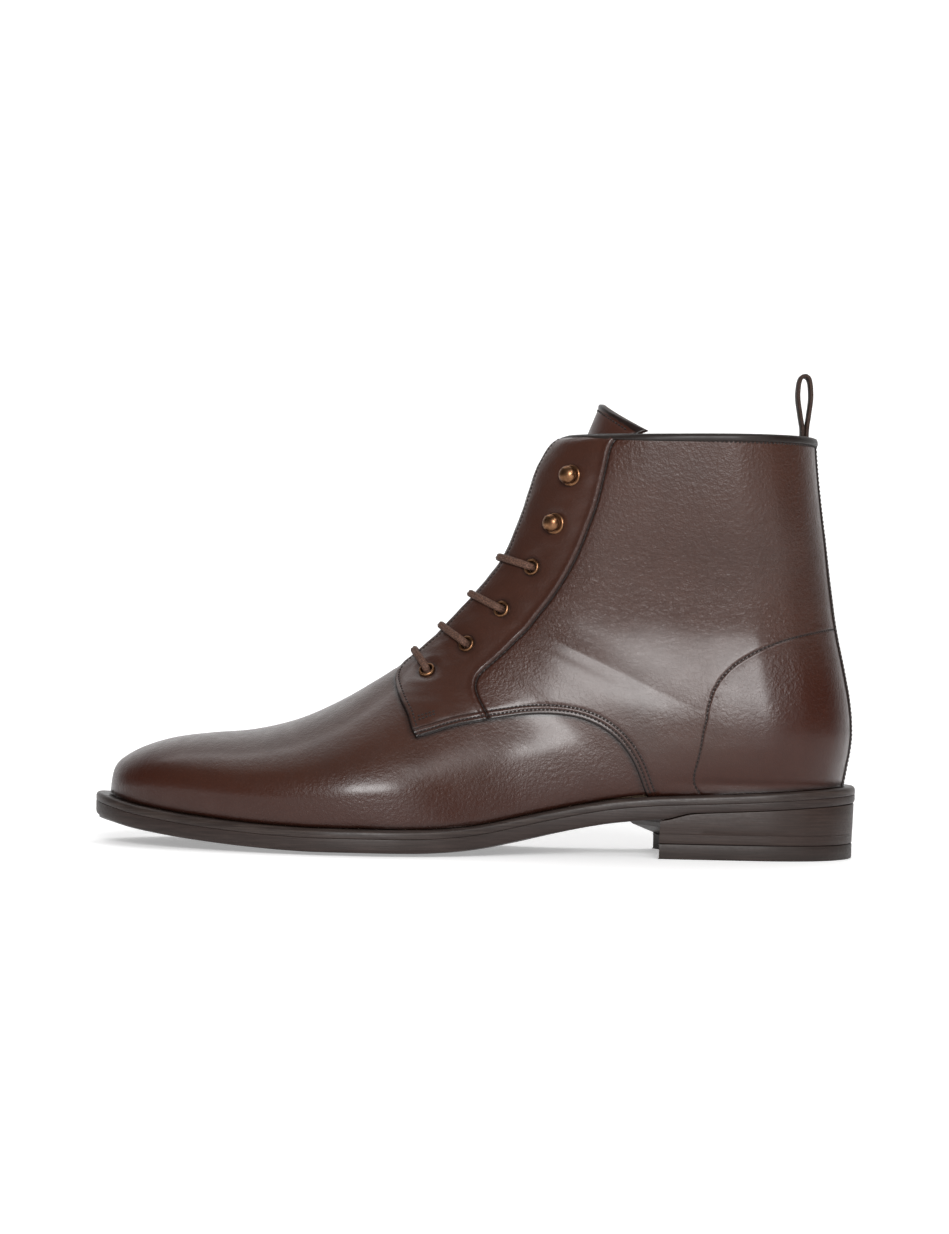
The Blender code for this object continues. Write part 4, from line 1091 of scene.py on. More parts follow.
def quarter_parts(side):
    low = to_side(QUARTER_LOW, side)
    front = to_side(TAB_FRONT, side)
    edge_low, edge_front = Line(low, 1.0, False), Line(front, 1.0)
    brim = BRIM[0 if side < 0 else 1].copy()
    if side > 0:
        brim[:, 1] = 2 - brim[:, 1]
    brim_line = Line(brim, 1.0, False)
    seam, counter = Line(to_side(FACING_SEAM, side), 1.2, False), Line(to_side(COUNTER, side), 1.3, False)
    holes = [(s, a if side < 0 else 2 - a, 2.1) for s, a in EYELETS_SA]
    # which way is inwards from each raw edge
    inner = []
    for line in (edge_low, edge_front, brim_line):
        mid = len(line.sw) // 2
        test = shifted(line.sw[mid : mid + 2], 1.5)
        goal = (16.0, 0.62 if side < 0 else 1.38)
        inner.append(1 if np.hypot(*((test[0] - goal) * (SX, WX))) < np.hypot(*((line.sw[mid] - goal) * (SX, WX))) else -1)

    def shape(s, w):
        h, p = body_height(s, w)
        d_low, d_front, d_brim = (np.abs(line.distance(s, w)) for line in (edge_low, edge_front, brim_line))
        d_edge = np.minimum(np.minimum(d_low, d_front), d_brim)
        k = np.clip(1 - d_edge / 0.75, 0, 1)
        h = h - 0.7 * (1 - np.sqrt(1 - k * k * 0.999))
        for gap, deep in ((1.8, 0.20), (3.6, 0.20)):
            h = h - deep * bell(d_low - gap, 0.5) * ease(p[:, 0], -44.0, -26.0 if gap > 2 else -40.0)
        h = h + 0.14 * bell(d_low - 2.7, 0.5) * ease(p[:, 0], -30.0, -20.0)
        h = h - 0.16 * bell(np.minimum(d_front, d_brim) - 2.3, 0.5)
        d = seam.distance(s, w) * (1 if side > 0 else -1)
        d = -d if FACING_FLIP[side] else d
        near = ease(p[:, 2], 30.0, 60.0)
        h = h + near * (0.55 * bell(d + 1.45, 1.0) - 0.75 * bell(d - 0.1, 0.50) - 0.10 * bell(d - 1.6, 1.2))
        facing = ease(-d, 0.5, 3.0)
        h = h + facing * (0.16 * waves(p, 9.0, 11) + 0.10)
        dc = np.abs(counter.distance(s, w))
        h = h - 0.22 * bell(dc, 0.45) + 0.07 * bell(dc - 0.9, 0.5)
        hole = np.full(len(p), 99.0)
        for hs, hw, r in holes + [(s2, a2 if side < 0 else 2 - a2, 2.1) for s2, a2 in STUDS_SA]:
            hole = np.minimum(hole, np.linalg.norm(p - surf(np.array([hs]), np.array([hw])), axis=1))
        h = np.where(hole < 9, h + (0.12 - h) * (1 - ease(hole, 3.3, 7.5)) * 0.9, h)
        burnish, shade, foot = look_of(p)
        burnish = np.maximum(burnish, facing * 0.12)
        burnish = np.maximum(burnish, 0.5 * bell(d, 4.0))
        # The edge mask is painted shade: along the raw edges, in the facing seam and counter seam, along the stitch
        # rows, round the eyelets and studs, and at the foot by the welt.
        edge = np.maximum(shade, 1 - ease(d_edge, 0.35, 1.3))
        edge = np.maximum(edge, np.maximum(0.92 * bell(d - 0.1, 0.55), 0.75 * bell(dc, 0.4)))
        edge = np.maximum(edge, 0.7 * bell(d_low - 1.8, 0.4) * ease(p[:, 0], -44, -36))
        edge = np.maximum(edge, 0.7 * bell(d_low - 3.6, 0.4) * ease(p[:, 0], -30, -22))
        edge = np.maximum(edge, 0.75 * (1 - ease(hole, 3.0, 5.0)))
        grain = ease(p[:, 2], 42.0, 78.0) * (1 - 0.8 * facing) * 0.9 + 0.12
        creased = ease(p[:, 2], 66.0, 90.0) * (1 - ease(p[:, 2], 118.0, 150.0)) * (1 - facing)
        return h, {"burnish": burnish, "edge": np.clip(edge, 0, 1), "grain": grain, "crease": creased * 0.3}

    return edge_low, edge_front, brim_line, seam, counter, holes, shape, inner


FACING_FLIP = {-1: False, 1: False}
for side_now in (-1, 1):
    probe = Line(to_side(FACING_SEAM, side_now), 1.2, False)
    at = probe.distance(np.array([20.2]), np.array([0.781 if side_now < 0 else 1.219]))[0] * (1 if side_now > 0 else -1)
    FACING_FLIP[side_now] = bool(at > 0)


def build_quarter(side, name):
    edge_low, edge_front, brim, seam, counter, holes, shape, inner = quarter_parts(side)
    end = to_side([(31.0, 0.0)], side)[0]
    collar_a = np.linspace(brim.sw[-1][1], end[1], 90)[1:]
    back = np.stack([np.linspace(31.0, 20.0, 75)[1:], np.full(74, end[1])], -1)
    foot_line = np.stack([np.linspace(20.0, 13.0, 70)[1:-1], np.full(68, end[1])], -1)
    ring = np.vstack([edge_front.sw, brim.sw[1:], np.stack([np.full(89, 31.0), collar_a], -1), back, foot_line, edge_low.sw[::-1][:-1]])
    fine = (0.12, 0.38, 0.8, 1.3, 1.8, 2.25, 2.7, 3.15, 3.6, 4.1)
    lines = [(edge_low, tuple(v * inner[0] for v in fine)), (edge_front, tuple(v * inner[1] for v in (0.12, 0.38, 0.8, 1.5, 2.3, 3.0))), (brim, tuple(v * inner[2] for v in (0.12, 0.38, 0.8, 1.5, 2.3, 3.0))), (seam, (-2.6, -1.9, -1.35, -0.85, -0.45, -0.2, 0.0, 0.2, 0.45, 0.85, 1.35, 1.9, 2.6)), (counter, (-1.3, -0.8, -0.4, 0.0, 0.4, 0.8, 1.3))]
    rims = [(edge_low.sw, 1.5), (edge_front.sw, 1.9), (brim.sw, 2.0)]
    panel(name, ring, shape, CALF, 1.35, rims, lines, holes, replaces=("upper",))
    threads = Threads()

    def lies(s, w):
        return shape(s, w)[0] + 0.02

    for gap in (1.8, 3.6):
        line = shifted(edge_low.sw, gap * inner[0])
        if gap > 2:
            run = lengths(surf(line[:, 0], line[:, 1]))
            threads.row(line, lies, 1.6, 1.15, 0.32, start=32.0, end=1.5)
        else:
            threads.row(line, lies, 1.6, 1.15, 0.32, start=2.0, end=1.5)
    threads.row(shifted(edge_front.sw, 2.3 * inner[1]), lies, 1.7, 1.15, 0.30, start=2.5, end=0.5)
    threads.row(shifted(brim.sw, 2.3 * inner[2]), lies, 1.7, 1.15, 0.30, start=0.5, end=0.5)
    for p0, p1 in (((417.0, 717.0), (438.5, 711.0)), ((417.8, 720.4), (436.5, 714.3))):
        s, a = on_side([p0, ((p0[0] + p1[0]) / 2, (p0[1] + p1[1]) / 2), p1])
        threads.row(np.stack([s, a if side < 0 else 2 - a], -1), lies, 1.5, 1.05, 0.31)
    threads.row(seam.sw, lambda s, w: shape(s, w)[0] + 0.08, 2.2, 1.3, 0.22, start=4.0, end=1.0)
    threads.row(counter.sw, lies, 1.75, 1.25, 0.31, start=1.0, end=9.0)
    threads.made(name + "_stitching", THREAD)
    return shape


def build_vamp():
    rear = [(13.9, 0.0), (14.9, 0.20), (15.3, 0.36), (15.2, 0.45), (14.4, 0.53), (12.6, 0.57), (11.0, 0.60), (10.05, 0.66), (9.85, 0.80), (10.2, 0.88), (11.0, 0.925), (11.2, 0.96), (11.2, 1.0)]
    half = even(curve(rear), 1.4)
    other = half[::-1].copy()
    other[:, 1] = 2 - other[:, 1]
    front_w = np.linspace(2.0, 0.0, 70)
    run = lengths(surf(np.zeros(401), np.linspace(2, 0, 401)))
    front_w = np.interp(np.linspace(0, run[-1], 71), run, np.linspace(2, 0, 401))
    med_foot = np.linspace(13.9, 0.0, 180)[1:-1]
    lat_foot = np.linspace(0.0, 13.9, 180)[1:-1]
    ring = np.vstack([half, other[1:], np.stack([med_foot, np.full(len(med_foot), 2.0)], -1), np.stack([np.zeros(71), front_w], -1), np.stack([lat_foot, np.zeros(len(lat_foot))], -1)])
    edges = [Line(to_side(QUARTER_LOW, side), 1.3, False) for side in (-1, 1)] + [Line(to_side(TAB_FRONT, side), 1.3) for side in (-1, 1)]

    def shape(s, w):
        p = surf(s, w)
        d = np.full(len(p), 99.0)
        for line in edges:
            d = np.minimum(d, np.abs(line.distance(s, w)))
        under = 1 - ease(d, 1.0, 16.0)
        covered = (s > 9.55) & (np.abs(w - 1) < 0.43) | (s > 14.0)
        under = np.maximum(under, np.where(covered, 1.0, 0.0) * 1.0)
        h = -0.62 * under + 0.10 * waves(p, 42.0, 5) * ease(p[:, 0], -150, -120)
        middle = 1 - ease(np.abs(w - 1), 0.10, 0.2)
        h = h - middle * 7.6 * ease(s, 9.75, 10.9)
        burnish, shade, foot = look_of(p)
        # The edge mask is painted shade: under the quarters' edges lying over the vamp, and at the foot by the welt.
        edge = np.maximum(shade, 0.85 * (1 - ease(d, 0.0, 1.6)))
        grain = 0.30 + 0.2 * ease(p[:, 0], -110.0, -20.0)
        return h, {"burnish": burnish, "edge": edge, "grain": grain, "crease": np.zeros(len(p))}

    panel("vamp", ring, shape, CALF, 1.45, replaces=("upper",))


def build_strip():
    """The back strip, laid over the seam where the quarters meet."""
    s = np.linspace(18.6, 31.0, 260)
    reach = np.linspace(-1, 1, 37)
    half, zs = 8.6, None
    columns = []
    for q in reach:
        side = -1 if q <= 0 else 1
        a = np.linspace(0, 0.5, 400)
        y = skin(s[:, None], side, a[None, :])[..., 1]
        off = np.abs(y - SIDE_SHIFT)
        target = abs(q) * half
        at = np.array([np.interp(target, row, a) if row[0] < target else 0.0 for row in off])
        valid = (off[:, 0] <= target + 1e-6) | (s >= 20.0)
        p = skin(s, side, at)
        n = outward(s, side, at)
        columns.append((p[valid], n[valid]))
    low = max(c[0][0, 2] for c in columns)
    rows = 150
    pts, edge = [], []
    for k, (p, n) in enumerate(columns):
        z = np.linspace(p[0, 2], p[-1, 2], rows)
        q = reach[k]
        x = np.interp(z, p[:, 2], p[:, 0])
        nx = np.interp(z, p[:, 2], n[:, 0])
        ny = np.interp(z, p[:, 2], n[:, 1])
        d = (1 - abs(q)) * half
        side_in = np.clip(1 - d / 0.8, 0, 1)
        lift = 0.32 - 1.0 * (1 - np.sqrt(1 - side_in**2 * 0.999)) - 0.14 * bell(d - 2.0, 0.45)
        taper = 1 + 0 * z
        pts.append(np.stack([x + nx * lift, np.full(rows, SIDE_SHIFT + q * half) + ny * lift, z], -1))
        # The edge mask is painted shade along the strip's raw edges; the painted shade at the foot is added below.
        edge.append(np.full(rows, np.clip(1 - ease(d, 0.3, 1.2), 0, 1)))
    grid = np.stack(pts, 1)
    p = grid.reshape(-1, 3)
    burnish, shade, foot = look_of(p)
    attributes = {"burnish": burnish * 0.7, "edge": np.maximum(np.stack(edge, 1).reshape(-1), shade), "grain": np.full(len(p), 0.4), "crease": np.zeros(len(p))}
    faces = grid_faces(rows, len(reach))
    walls = []
    for col, way in ((0, -1), (len(reach) - 1, 1)):
        start = len(p) + len(walls) * 0
    put("back_strip", p, faces, STRIP_CALF, attributes, replaces=("upper",))
    threads = Threads()
    for q in (-1, 1):
        k = 0 if q < 0 else len(reach) - 1
        col = int(round((1 - 2.0 / half) * (len(reach) - 1) / 2))
        index = (len(reach) - 1) // 2 + q * col
        line = grid[:, index]
        run = lengths(line)
        n = int(run[-1] / 1.75)
        at = (np.arange(n) + 0.7) * 1.75
        way = np.gradient(line, axis=0)
        for a in at:
            c = np.array([np.interp(a, run, line[:, j]) for j in range(3)])
            t = np.array([np.interp(a, run, way[:, j]) for j in range(3)])
            t /= np.linalg.norm(t)
            out = np.array([1.0, 0.25 * q, 0.0])
            out -= (out @ t) * t
            out /= np.linalg.norm(out)
            threads.stitch(c + out * 0.05, t, out, 1.2, 0.28)
    threads.made("back_strip_stitching", THREAD)


def build_binding():
    """The turned binding that rolls over the collar."""
    parts = []
    lat = BRIM[0][BRIM[0][:, 0] >= 29.2]
    med = BRIM[1][BRIM[1][:, 0] >= 29.2].copy()
    med[:, 1] = 2 - med[:, 1]
    a_lat, a_med = lat[-1][1], 2 - med[-1][1]
    round_lat = np.stack([np.full(120, 31.0), np.linspace(a_lat, 0.0, 120)], -1)[1:]
    round_med = np.stack([np.full(120, 31.0), 2 - np.linspace(0.0, a_med, 120)], -1)
    p = [surf(x[:, 0], x[:, 1]) for x in (lat, round_lat, round_med[1:], med[::-1][1:])]
    n = [norm(x[:, 0], x[:, 1]) for x in (lat, round_lat, round_med[1:], med[::-1][1:])]
    p, n = np.vstack(p), np.vstack(n)
    run = lengths(p)
    t = np.linspace(0, run[-1], 300)
    p = np.stack([np.interp(t, run, p[:, k]) for k in range(3)], -1)
    n = np.stack([np.interp(t, run, n[:, k]) for k in range(3)], -1)
    for _ in range(3):
        n[1:-1] = (n[:-2] + n[1:-1] * 2 + n[2:]) / 4
        p[1:-1] = (p[:-2] + p[1:-1] * 2 + p[2:]) / 4
    taper = np.minimum(ease(t, 0.0, 12.0), ease(run[-1] - t, 0.0, 12.0))
    base = np.array([(-2.7, 0.10), (-2.6, 0.80), (-2.0, 1.05), (-0.8, 1.05), (0.1, 0.72), (0.45, 0.0), (0.52, -0.9), (0.42, -1.8), (0.0, -2.5), (-0.8, -2.75), (-2.6, -2.75), (-2.7, -2.3), (-1.0, -1.6)])
    sections = []
    for k in taper:
        m = base.copy()
        m[:, 0] = np.where(m[:, 0] < 0, m[:, 0] * (0.35 + 0.65 * k), m[:, 0] * (0.25 + 0.75 * k))
        m[:, 1] = np.where(m[:, 1] > 0, m[:, 1] * (0.45 + 0.55 * k), m[:, 1])
        sections.append(m)
    points, faces = sweep(p, n, sections)
    up = points.reshape(300, -1, 3)
    if up[150, 6, 2] < p[150, 2]:
        for m in sections:
            m[:, 0] *= -1
        points, faces = sweep(p, n, sections)
    count = len(points)
    put("collar_binding", points, faces, BIND_CALF, {"burnish": np.zeros(count), "edge": np.full(count, 0.15), "grain": np.full(count, 0.4), "crease": np.zeros(count)}, replaces=("upper",))
    threads = Threads()
    for side in (-1, 1):
        a = np.linspace((a_lat if side < 0 else a_med) + 0.0, 0.01, 100)
        line = np.stack([np.full(100, 31.0), a if side < 0 else 2 - a], -1)
        line[:, 0] = 31.0 - 3.1 / 6.6
        line = even(line, 0.8)
        # the same drop everywhere, measured on the surface
        for _ in range(4):
            here = surf(line[:, 0], line[:, 1])
            rim = surf(np.full(len(line), 31.0), line[:, 1])
            gap = np.linalg.norm(here - rim, axis=1)
            line[:, 0] = 31.0 - np.clip((31.0 - line[:, 0]) * 3.1 / np.maximum(gap, 0.3), 0.05, 3.0)
        threads.row(line, lambda s, w: body_height(s, w)[0] + 0.06, 1.7, 1.2, 0.30)
    threads.made("collar_stitching", THREAD)


def build_lining():
    points, faces = [], []

    def patch(s0, s1, w0, w1, rows, cols):
        start = sum(len(p) for p in points)
        s = np.linspace(s0, s1, rows)
        for v in s:
            lo = w0(v) if callable(w0) else w0
            hi = w1(v) if callable(w1) else w1
            q = np.linspace(lo, hi, cols)
            side, a = place(q)
            points.append(skin(np.full(cols, v), side, a, WALL) - outward(np.full(cols, v), side, a) * 0.35)
        faces.extend(grid_faces(rows, cols, start))

    patch(0.0, 10.0, 0.0, 2.0, 90, 141)
    patch(10.0, 31.0, 0.0, lambda v: float(slot_edge(np.array([v]), -1)[0]), 120, 90)
    patch(10.0, 31.0, lambda v: 2 - float(slot_edge(np.array([v]), 1)[0]), 2.0, 120, 90)
    put("lining", np.vstack(points), faces, LINING_LOOK, replaces=("upper",), slot="insole_leather")


def build_tongue():
    rows = np.concatenate([np.linspace(9.0, 31.0, 90)])
    cols = 61
    q = np.linspace(-1, 1, cols)
    points, edge = [], []
    sheets = []
    for depth in (7.95, 9.6):
        sheet = []
        for s in rows:
            outer = cubic([9.0, 16.0, 24.0, 31.0], [0.80, 0.76, 0.70, 0.60], float(s))
            a = 1.0 - np.abs(q) * (1.0 - outer)
            side = np.where(q < 0, -1, 1)
            sheet.append(skin(np.full(cols, s), side, a, depth))
        rim = sheet[-1]
        before = sheet[-1] - sheet[-2]
        for share in np.linspace(0, 1, 22)[1:]:
            lift = 14.0 - 11.8 * np.abs(q) ** 1.5
            sheet.append(rim + np.stack([np.full(cols, 5.5), np.zeros(cols), lift], -1) * share)
        sheets.append(np.array(sheet))
    front, rear = sheets
    total = front.shape[0]
    n = np.cross(np.gradient(front, axis=0), np.gradient(front, axis=1))
    n /= np.maximum(np.linalg.norm(n, axis=2, keepdims=True), 1e-9)
    if n[total // 2, cols // 2, 0] > 0:
        n = -n
    rim_gap = np.minimum((np.arange(total)[::-1][:, None] * np.ones(cols)) * (14.0 - 11.8 * np.abs(q) ** 1.5) / 21.0, (1 - np.abs(q))[None] * 24.0)
    lift = 0.45 * np.sqrt(np.clip(1 - ((rim_gap - 0.7) / 0.8) ** 2, 0, 1)) - 0.16 * bell(rim_gap - 2.4, 0.45)
    front = front + n * lift[..., None]
    p = np.vstack([front.reshape(-1, 3), rear.reshape(-1, 3)])
    faces = grid_faces(total, cols) + grid_faces(total, cols, total * cols)
    m = total * cols
    for j in (0, cols - 1):
        faces += [[i * cols + j, (i + 1) * cols + j, m + (i + 1) * cols + j, m + i * cols + j] for i in range(total - 1)]
    for i in (0, total - 1):
        faces += [[i * cols + j, i * cols + j + 1, m + i * cols + j + 1, m + i * cols + j] for j in range(cols - 1)]
    # The edge mask is painted shade along the tongue's top rim.
    edge = np.concatenate([(rim_gap < 1.5).astype(float).reshape(-1) * 0.9, np.zeros(m)])
    put("tongue_leather", p, faces, TONGUE_CALF, {"burnish": np.full(2 * m, 0.35), "edge": edge, "grain": np.full(2 * m, 0.3), "crease": np.zeros(2 * m)}, replaces=("tongue",), slot="tongue_leather")
    threads = Threads()
    top = np.array([np.stack([np.interp(2.4, rim_gap[::-1, j], front[::-1, j, k]) for k in range(3)], -1) for j in range(5, cols - 5)])
    run = lengths(top)
    for at in np.arange(1.0, run[-1] - 1, 1.8):
        c = np.array([np.interp(at, run, top[:, k]) for k in range(3)])
        e = np.array([np.interp(at + 0.6, run, top[:, k]) for k in range(3)])
        t = (e - c) / max(np.linalg.norm(e - c), 1e-6)
        out = np.array([-0.93, np.sign(c[1] - SIDE_SHIFT) * 0.3, 0.2])
        out -= (out @ t) * t
        out /= np.linalg.norm(out)
        threads.stitch(c, t, out, 1.3, 0.30)
    threads.made("tongue_stitching", THREAD)


# ---------------------------------------------------------------- sole, heel
def outline_loop(edge, count):
    ring = [(edge(i / count), 0) for i in range(count)] + [(edge(1 - i / count), 1) for i in range(count)]
    return np.array([(e[0], e[1] if side == 0 else e[2]) for e, side in ring])


def welt_top_of(x):
    return np.array([welt_top(v) for v in np.atleast_1d(x)])


def layer(name, levels, look, top=None, bottom=None, cols=25, sharp=35, **rest):
    """A sole layer from levels of (edge function, height function of x); top and bottom close it."""
    count = 130
    n = 2 * count
    points, faces = [], []
    for edge, height in levels:
        ring = outline_loop(edge, count)
        points.append(np.column_stack([ring, height(ring[:, 0])]))
    for r in range(len(levels) - 1):
        faces += grid_faces(2, n, r * n, True)
    total = len(levels) * n
    for which, cap in ((0, top), (len(levels) - 1, bottom)):
        if cap is None:
            continue
        ring = points[which]
        base = which * n
        across = np.linspace(0, 1, cols)[1:-1]
        rows = []
        for i in range(1, count):
            a, b = ring[i], ring[n - i]
            q = np.sin(np.pi / 2 * (2 * across - 1))
            mid = (a + b) / 2 + (b - a) / 2 * q[:, None]
            mid[:, 2] = cap(mid[:, 0], q, a[2])
            rows.append(mid)
        points.append(np.vstack(rows))
        inner = cols - 2

        def at(i, j):
            if i == 0:
                return base
            if i == count:
                return base + count
            if j == 0:
                return base + i
            if j == cols - 1:
                return base + n - i
            return total + (i - 1) * inner + j - 1

        for i in range(count):
            for j in range(cols - 1):
                faces.append([at(i, j), at(i, j + 1), at(i + 1, j + 1), at(i + 1, j)])
        total += (count - 1) * inner
    return put(name, np.vstack(points), faces, look, sharp=sharp, slot="edge_leather", **rest)


def inset_edge(d):
    return lambda t: sole_edge(t, d, d, d)


def build_soles():
    thick = lambda x: np.array([sole_thick(v) for v in x])
    top_of = lambda drop: (lambda x: welt_top_of(x) - drop)
    layer("outsole_leather", [
        (inset_edge(1.5), top_of(WELT_THICK + 0.05)), (inset_edge(0.22), top_of(WELT_THICK + 0.05)), (inset_edge(0.06), top_of(WELT_THICK + 0.18)), (inset_edge(0.0), top_of(WELT_THICK + 0.5)),
        (inset_edge(0.0), lambda x: welt_top_of(x) - thick(x) * 0.82), (inset_edge(0.18), lambda x: welt_top_of(x) - thick(x) * 0.93), (inset_edge(0.55), lambda x: welt_top_of(x) - thick(x) * 0.985), (inset_edge(1.2), lambda x: welt_top_of(x) - thick(x)),
    ], SOLE_EDGE, top=lambda x, q, z: welt_top_of(x) - WELT_THICK - 0.12,
        bottom=lambda x, q, z: welt_top_of(x) - thick(x) - SOLE_CROWN * (1 - np.clip((x - 20.0) / 45.0, 0, 1)) * (1 - np.clip((np.abs(q) - 0.4) / 0.6, 0, 1) ** 2), replaces=("outsole",))
    count = 130
    inner = lambda t: feather(t, WALL)
    rows = [(inset_edge(0.22), WELT_THICK), (inset_edge(0.05), WELT_THICK - 0.14), (inset_edge(0.0), WELT_THICK - 0.4), (inset_edge(0.0), 1.55), (inset_edge(0.18), 0.95), (inset_edge(0.62), 0.42), (inset_edge(1.15), 0.10), (inset_edge(1.75), 0.0), (inset_edge(3.0), 0.02), (inner, 0.05), (inner, WELT_THICK)]
    points, faces = [], []
    for edge, drop in rows:
        ring = outline_loop(edge, count)
        points.append(np.column_stack([ring, welt_top_of(ring[:, 0]) - drop]))
    for r in range(len(rows)):
        for i in range(2 * count):
            j, r2 = (i + 1) % (2 * count), (r + 1) % len(rows)
            faces.append([r * 2 * count + i, r * 2 * count + j, r2 * 2 * count + j, r2 * 2 * count + i])
    put("welt_strip", np.vstack(points), faces, WELT_EDGE, sharp=50, replaces=("welt",), slot="edge_leather")
    side_in = lambda d: (lambda t: feather(t, d))
    layer("insole_board", [(side_in(WALL + 2.2), top_of(-3.0)), (side_in(WALL + 1.7), top_of(-2.7)), (side_in(WALL + 1.6), top_of(-2.2)), (side_in(WALL + 1.6), top_of(WELT_THICK))], INSOLE_LOOK,
        top=lambda x, q, z: welt_top_of(x) + 3.0 + 0.5 * (1 - q * q) * 0, bottom=lambda x, q, z: welt_top_of(x) - WELT_THICK, replaces=("insole",))


def heel_ring(z_share, inset, count_back=60, count_breast=26):
    cut = max(0.0, min(1.0, (0.75 - z_share) / 0.5))
    medial_x = BREAST_MEDIAL_X + (BREAST_LATERAL_X + 1.0 - BREAST_MEDIAL_X) * cut
    t_of = lambda x: math.acos(1 - 2 * (x - TOE_X) / SOLE_LENGTH) / math.pi
    ring = []
    t0, t1 = t_of(BREAST_LATERAL_X), t_of(medial_x)
    for i in range(count_back):
        x, lat, med = sole_edge(t0 + (1 - t0) * math.sin(math.pi / 2 * i / count_back), 0.0, inset, inset)
        ring.append((x, lat))
    for i in range(count_back + 1):
        x, lat, med = sole_edge(t1 + (1 - t1) * math.cos(math.pi / 2 * i / count_back), 0.0, inset, inset)
        ring.append((x, med))
    a, b = ring[-1], ring[0]
    for i in range(1, count_breast):
        k = i / count_breast
        ring.append((a[0] + (b[0] - a[0]) * k + BREAST_HOLLOW * math.sin(math.pi * k) ** 0.9, a[1] + (b[1] - a[1]) * k))
    return np.array(ring)


def heel_piece(name, levels, look, slot, replaces):
    points, faces = [], []
    n = len(levels[0][1])
    for height, ring in levels:
        z = np.array([height(x) for x in ring[:, 0]]) if callable(height) else np.full(n, float(height))
        points.append(np.column_stack([ring, z]))
    for r in range(len(levels) - 1):
        faces += grid_faces(2, n, r * n, True)
    total = len(levels) * n
    for r in (0, len(levels) - 1):
        height, ring = levels[r]
        before = r * n
        for scale in (0.85, 0.6, 0.35, 0.12):
            q = np.array([112.0, SIDE_SHIFT]) + (ring - (112.0, SIDE_SHIFT)) * scale
            z = np.array([height(x) for x in q[:, 0]]) if callable(height) else np.full(n, float(height))
            points.append(np.column_stack([q, z]))
            faces += [[before + i, before + (i + 1) % n, total + (i + 1) % n, total + i] for i in range(n)]
            before = total
            total += n
        faces.append([before + i for i in range(n)])
    return put(name, np.vstack(points), faces, look, sharp=38, replaces=replaces, slot=slot)


def build_heel():
    def seat(x):
        return welt_top(x) - sole_thick(x) - 0.12 - 0.55 * (1 - min(max((x - 60.0) / 34.0, 0.0), 1.0))

    low = TOP_PIECE_THICK + 0.12
    share = lambda z: float(np.interp(z, [6.3, 10.0, 12.0, 16.0], [0.22, 0.62, 0.80, 1.0]))
    levels = [(low, heel_ring(0.22, 1.5)), (low + 0.15, heel_ring(0.22, 1.05)), (low + 0.5, heel_ring(0.24, 0.92))]
    for z, cut in ((8.0, 0.88), (9.85, 0.82), (9.95, 0.93), (10.05, 0.82), (12.0, 0.7)):
        levels.append((z, heel_ring(share(z), cut)))
    levels += [(lambda x: seat(x) - 0.55, heel_ring(1.0, 0.42)), (lambda x: seat(x) - 0.2, heel_ring(1.0, 0.55)), (lambda x: seat(x), heel_ring(1.0, 0.95))]
    heel_piece("heel_lifts", levels, HEEL_EDGE, "edge_leather", ("heel_stack",))
    heel_piece("rubber_lift", [(0.0, heel_ring(0.0, 1.7)), (0.18, heel_ring(0.0, 1.2)), (0.6, heel_ring(0.0, 0.92)), (5.5, heel_ring(0.19, 0.9)), (5.85, heel_ring(0.2, 1.05)), (TOP_PIECE_THICK, heel_ring(0.2, 1.4))], RUBBER_LOOK, "top_piece_rubber", ("top_piece",))


# ---------------------------------------------------------------- eyelets, studs, lace, loop
def turned(points_faces, base, axis, profile, count=36, closed=False, weight=None):
    points, faces = points_faces
    axis = axis / np.linalg.norm(axis)
    side = np.cross(axis, (0.0, 0.0, 1.0))
    side /= np.linalg.norm(side)
    other = np.cross(axis, side)
    start = sum(len(p) for p in points)
    w = np.linspace(0, 2 * np.pi, count, endpoint=False)
    for radius, height in profile:
        points.append(base + axis * height + (np.cos(w)[:, None] * side + np.sin(w)[:, None] * other) * radius)
    n = len(profile)
    faces += grid_faces(n, count, start, True)
    if closed:
        last = start + (n - 1) * count
        faces += [[last + i, last + (i + 1) % count, start + (i + 1) % count, start + i] for i in range(count)]
    else:
        faces.append([start + (n - 1) * count + i for i in range(count)])


def roll(r0, r1, h0, h1, count=10):
    """Half-round lip from radius r0 to r1 between heights."""
    w = np.linspace(0, np.pi, count)
    return [((r0 + r1) / 2 + (r1 - r0) / 2 * -math.cos(v), h0 + (h1 - h0) * math.sin(v)) for v in w]


def build_hardware():
    places = {}
    lip = roll(2.05, 3.35, 0.30, 1.15, 12)
    ring = [(1.95, -2.5)] + [(2.05, 0.1)] + lip[1:-1] + [(3.35, 0.15), (2.3, 0.0), (2.3, -2.5)]
    ball = [(4.2, 0.1), (4.2, 0.42), (4.05, 0.66), (3.7, 0.78), (3.0, 0.80), (2.2, 0.95), (1.85, 1.2)]
    for v in np.linspace(-1.02, 1.5, 17):
        ball.append((3.6 * math.cos(v), 3.15 + 2.45 * math.sin(v)))
    for word, side in (("lateral", -1), ("medial", 1)):
        for n, (s, a) in enumerate(EYELETS_SA, 1):
            s, a = float(s), float(a)
            w = a if side < 0 else 2 - a
            p, axis = surf(np.array([s]), np.array([w]))[0], norm(np.array([s]), np.array([w]))[0]
            places[(n, side)] = (s, w, p, axis)
            mesh = ([], [])
            turned(mesh, p, axis, ring, 40, True)
            put(f"eyelet_ring_{word}_{n}", np.vstack(mesh[0]), mesh[1], BRASS_LOOK, replaces=(f"eyelet_{word}_{n}",), slot="antique_brass")
        for n, (s, a) in enumerate(STUDS_SA, 1):
            w = a if side < 0 else 2 - a
            p, axis = surf(np.array([s]), np.array([w]))[0], norm(np.array([s]), np.array([w]))[0]
            mesh = ([], [])
            turned(mesh, p, axis, ball, 40)
            put(f"hook_stud_{word}_{n}", np.vstack(mesh[0]), mesh[1], BRASS_LOOK, sharp=60, replaces=(f"stud_{word}_{n}",), slot="antique_brass")
    return places


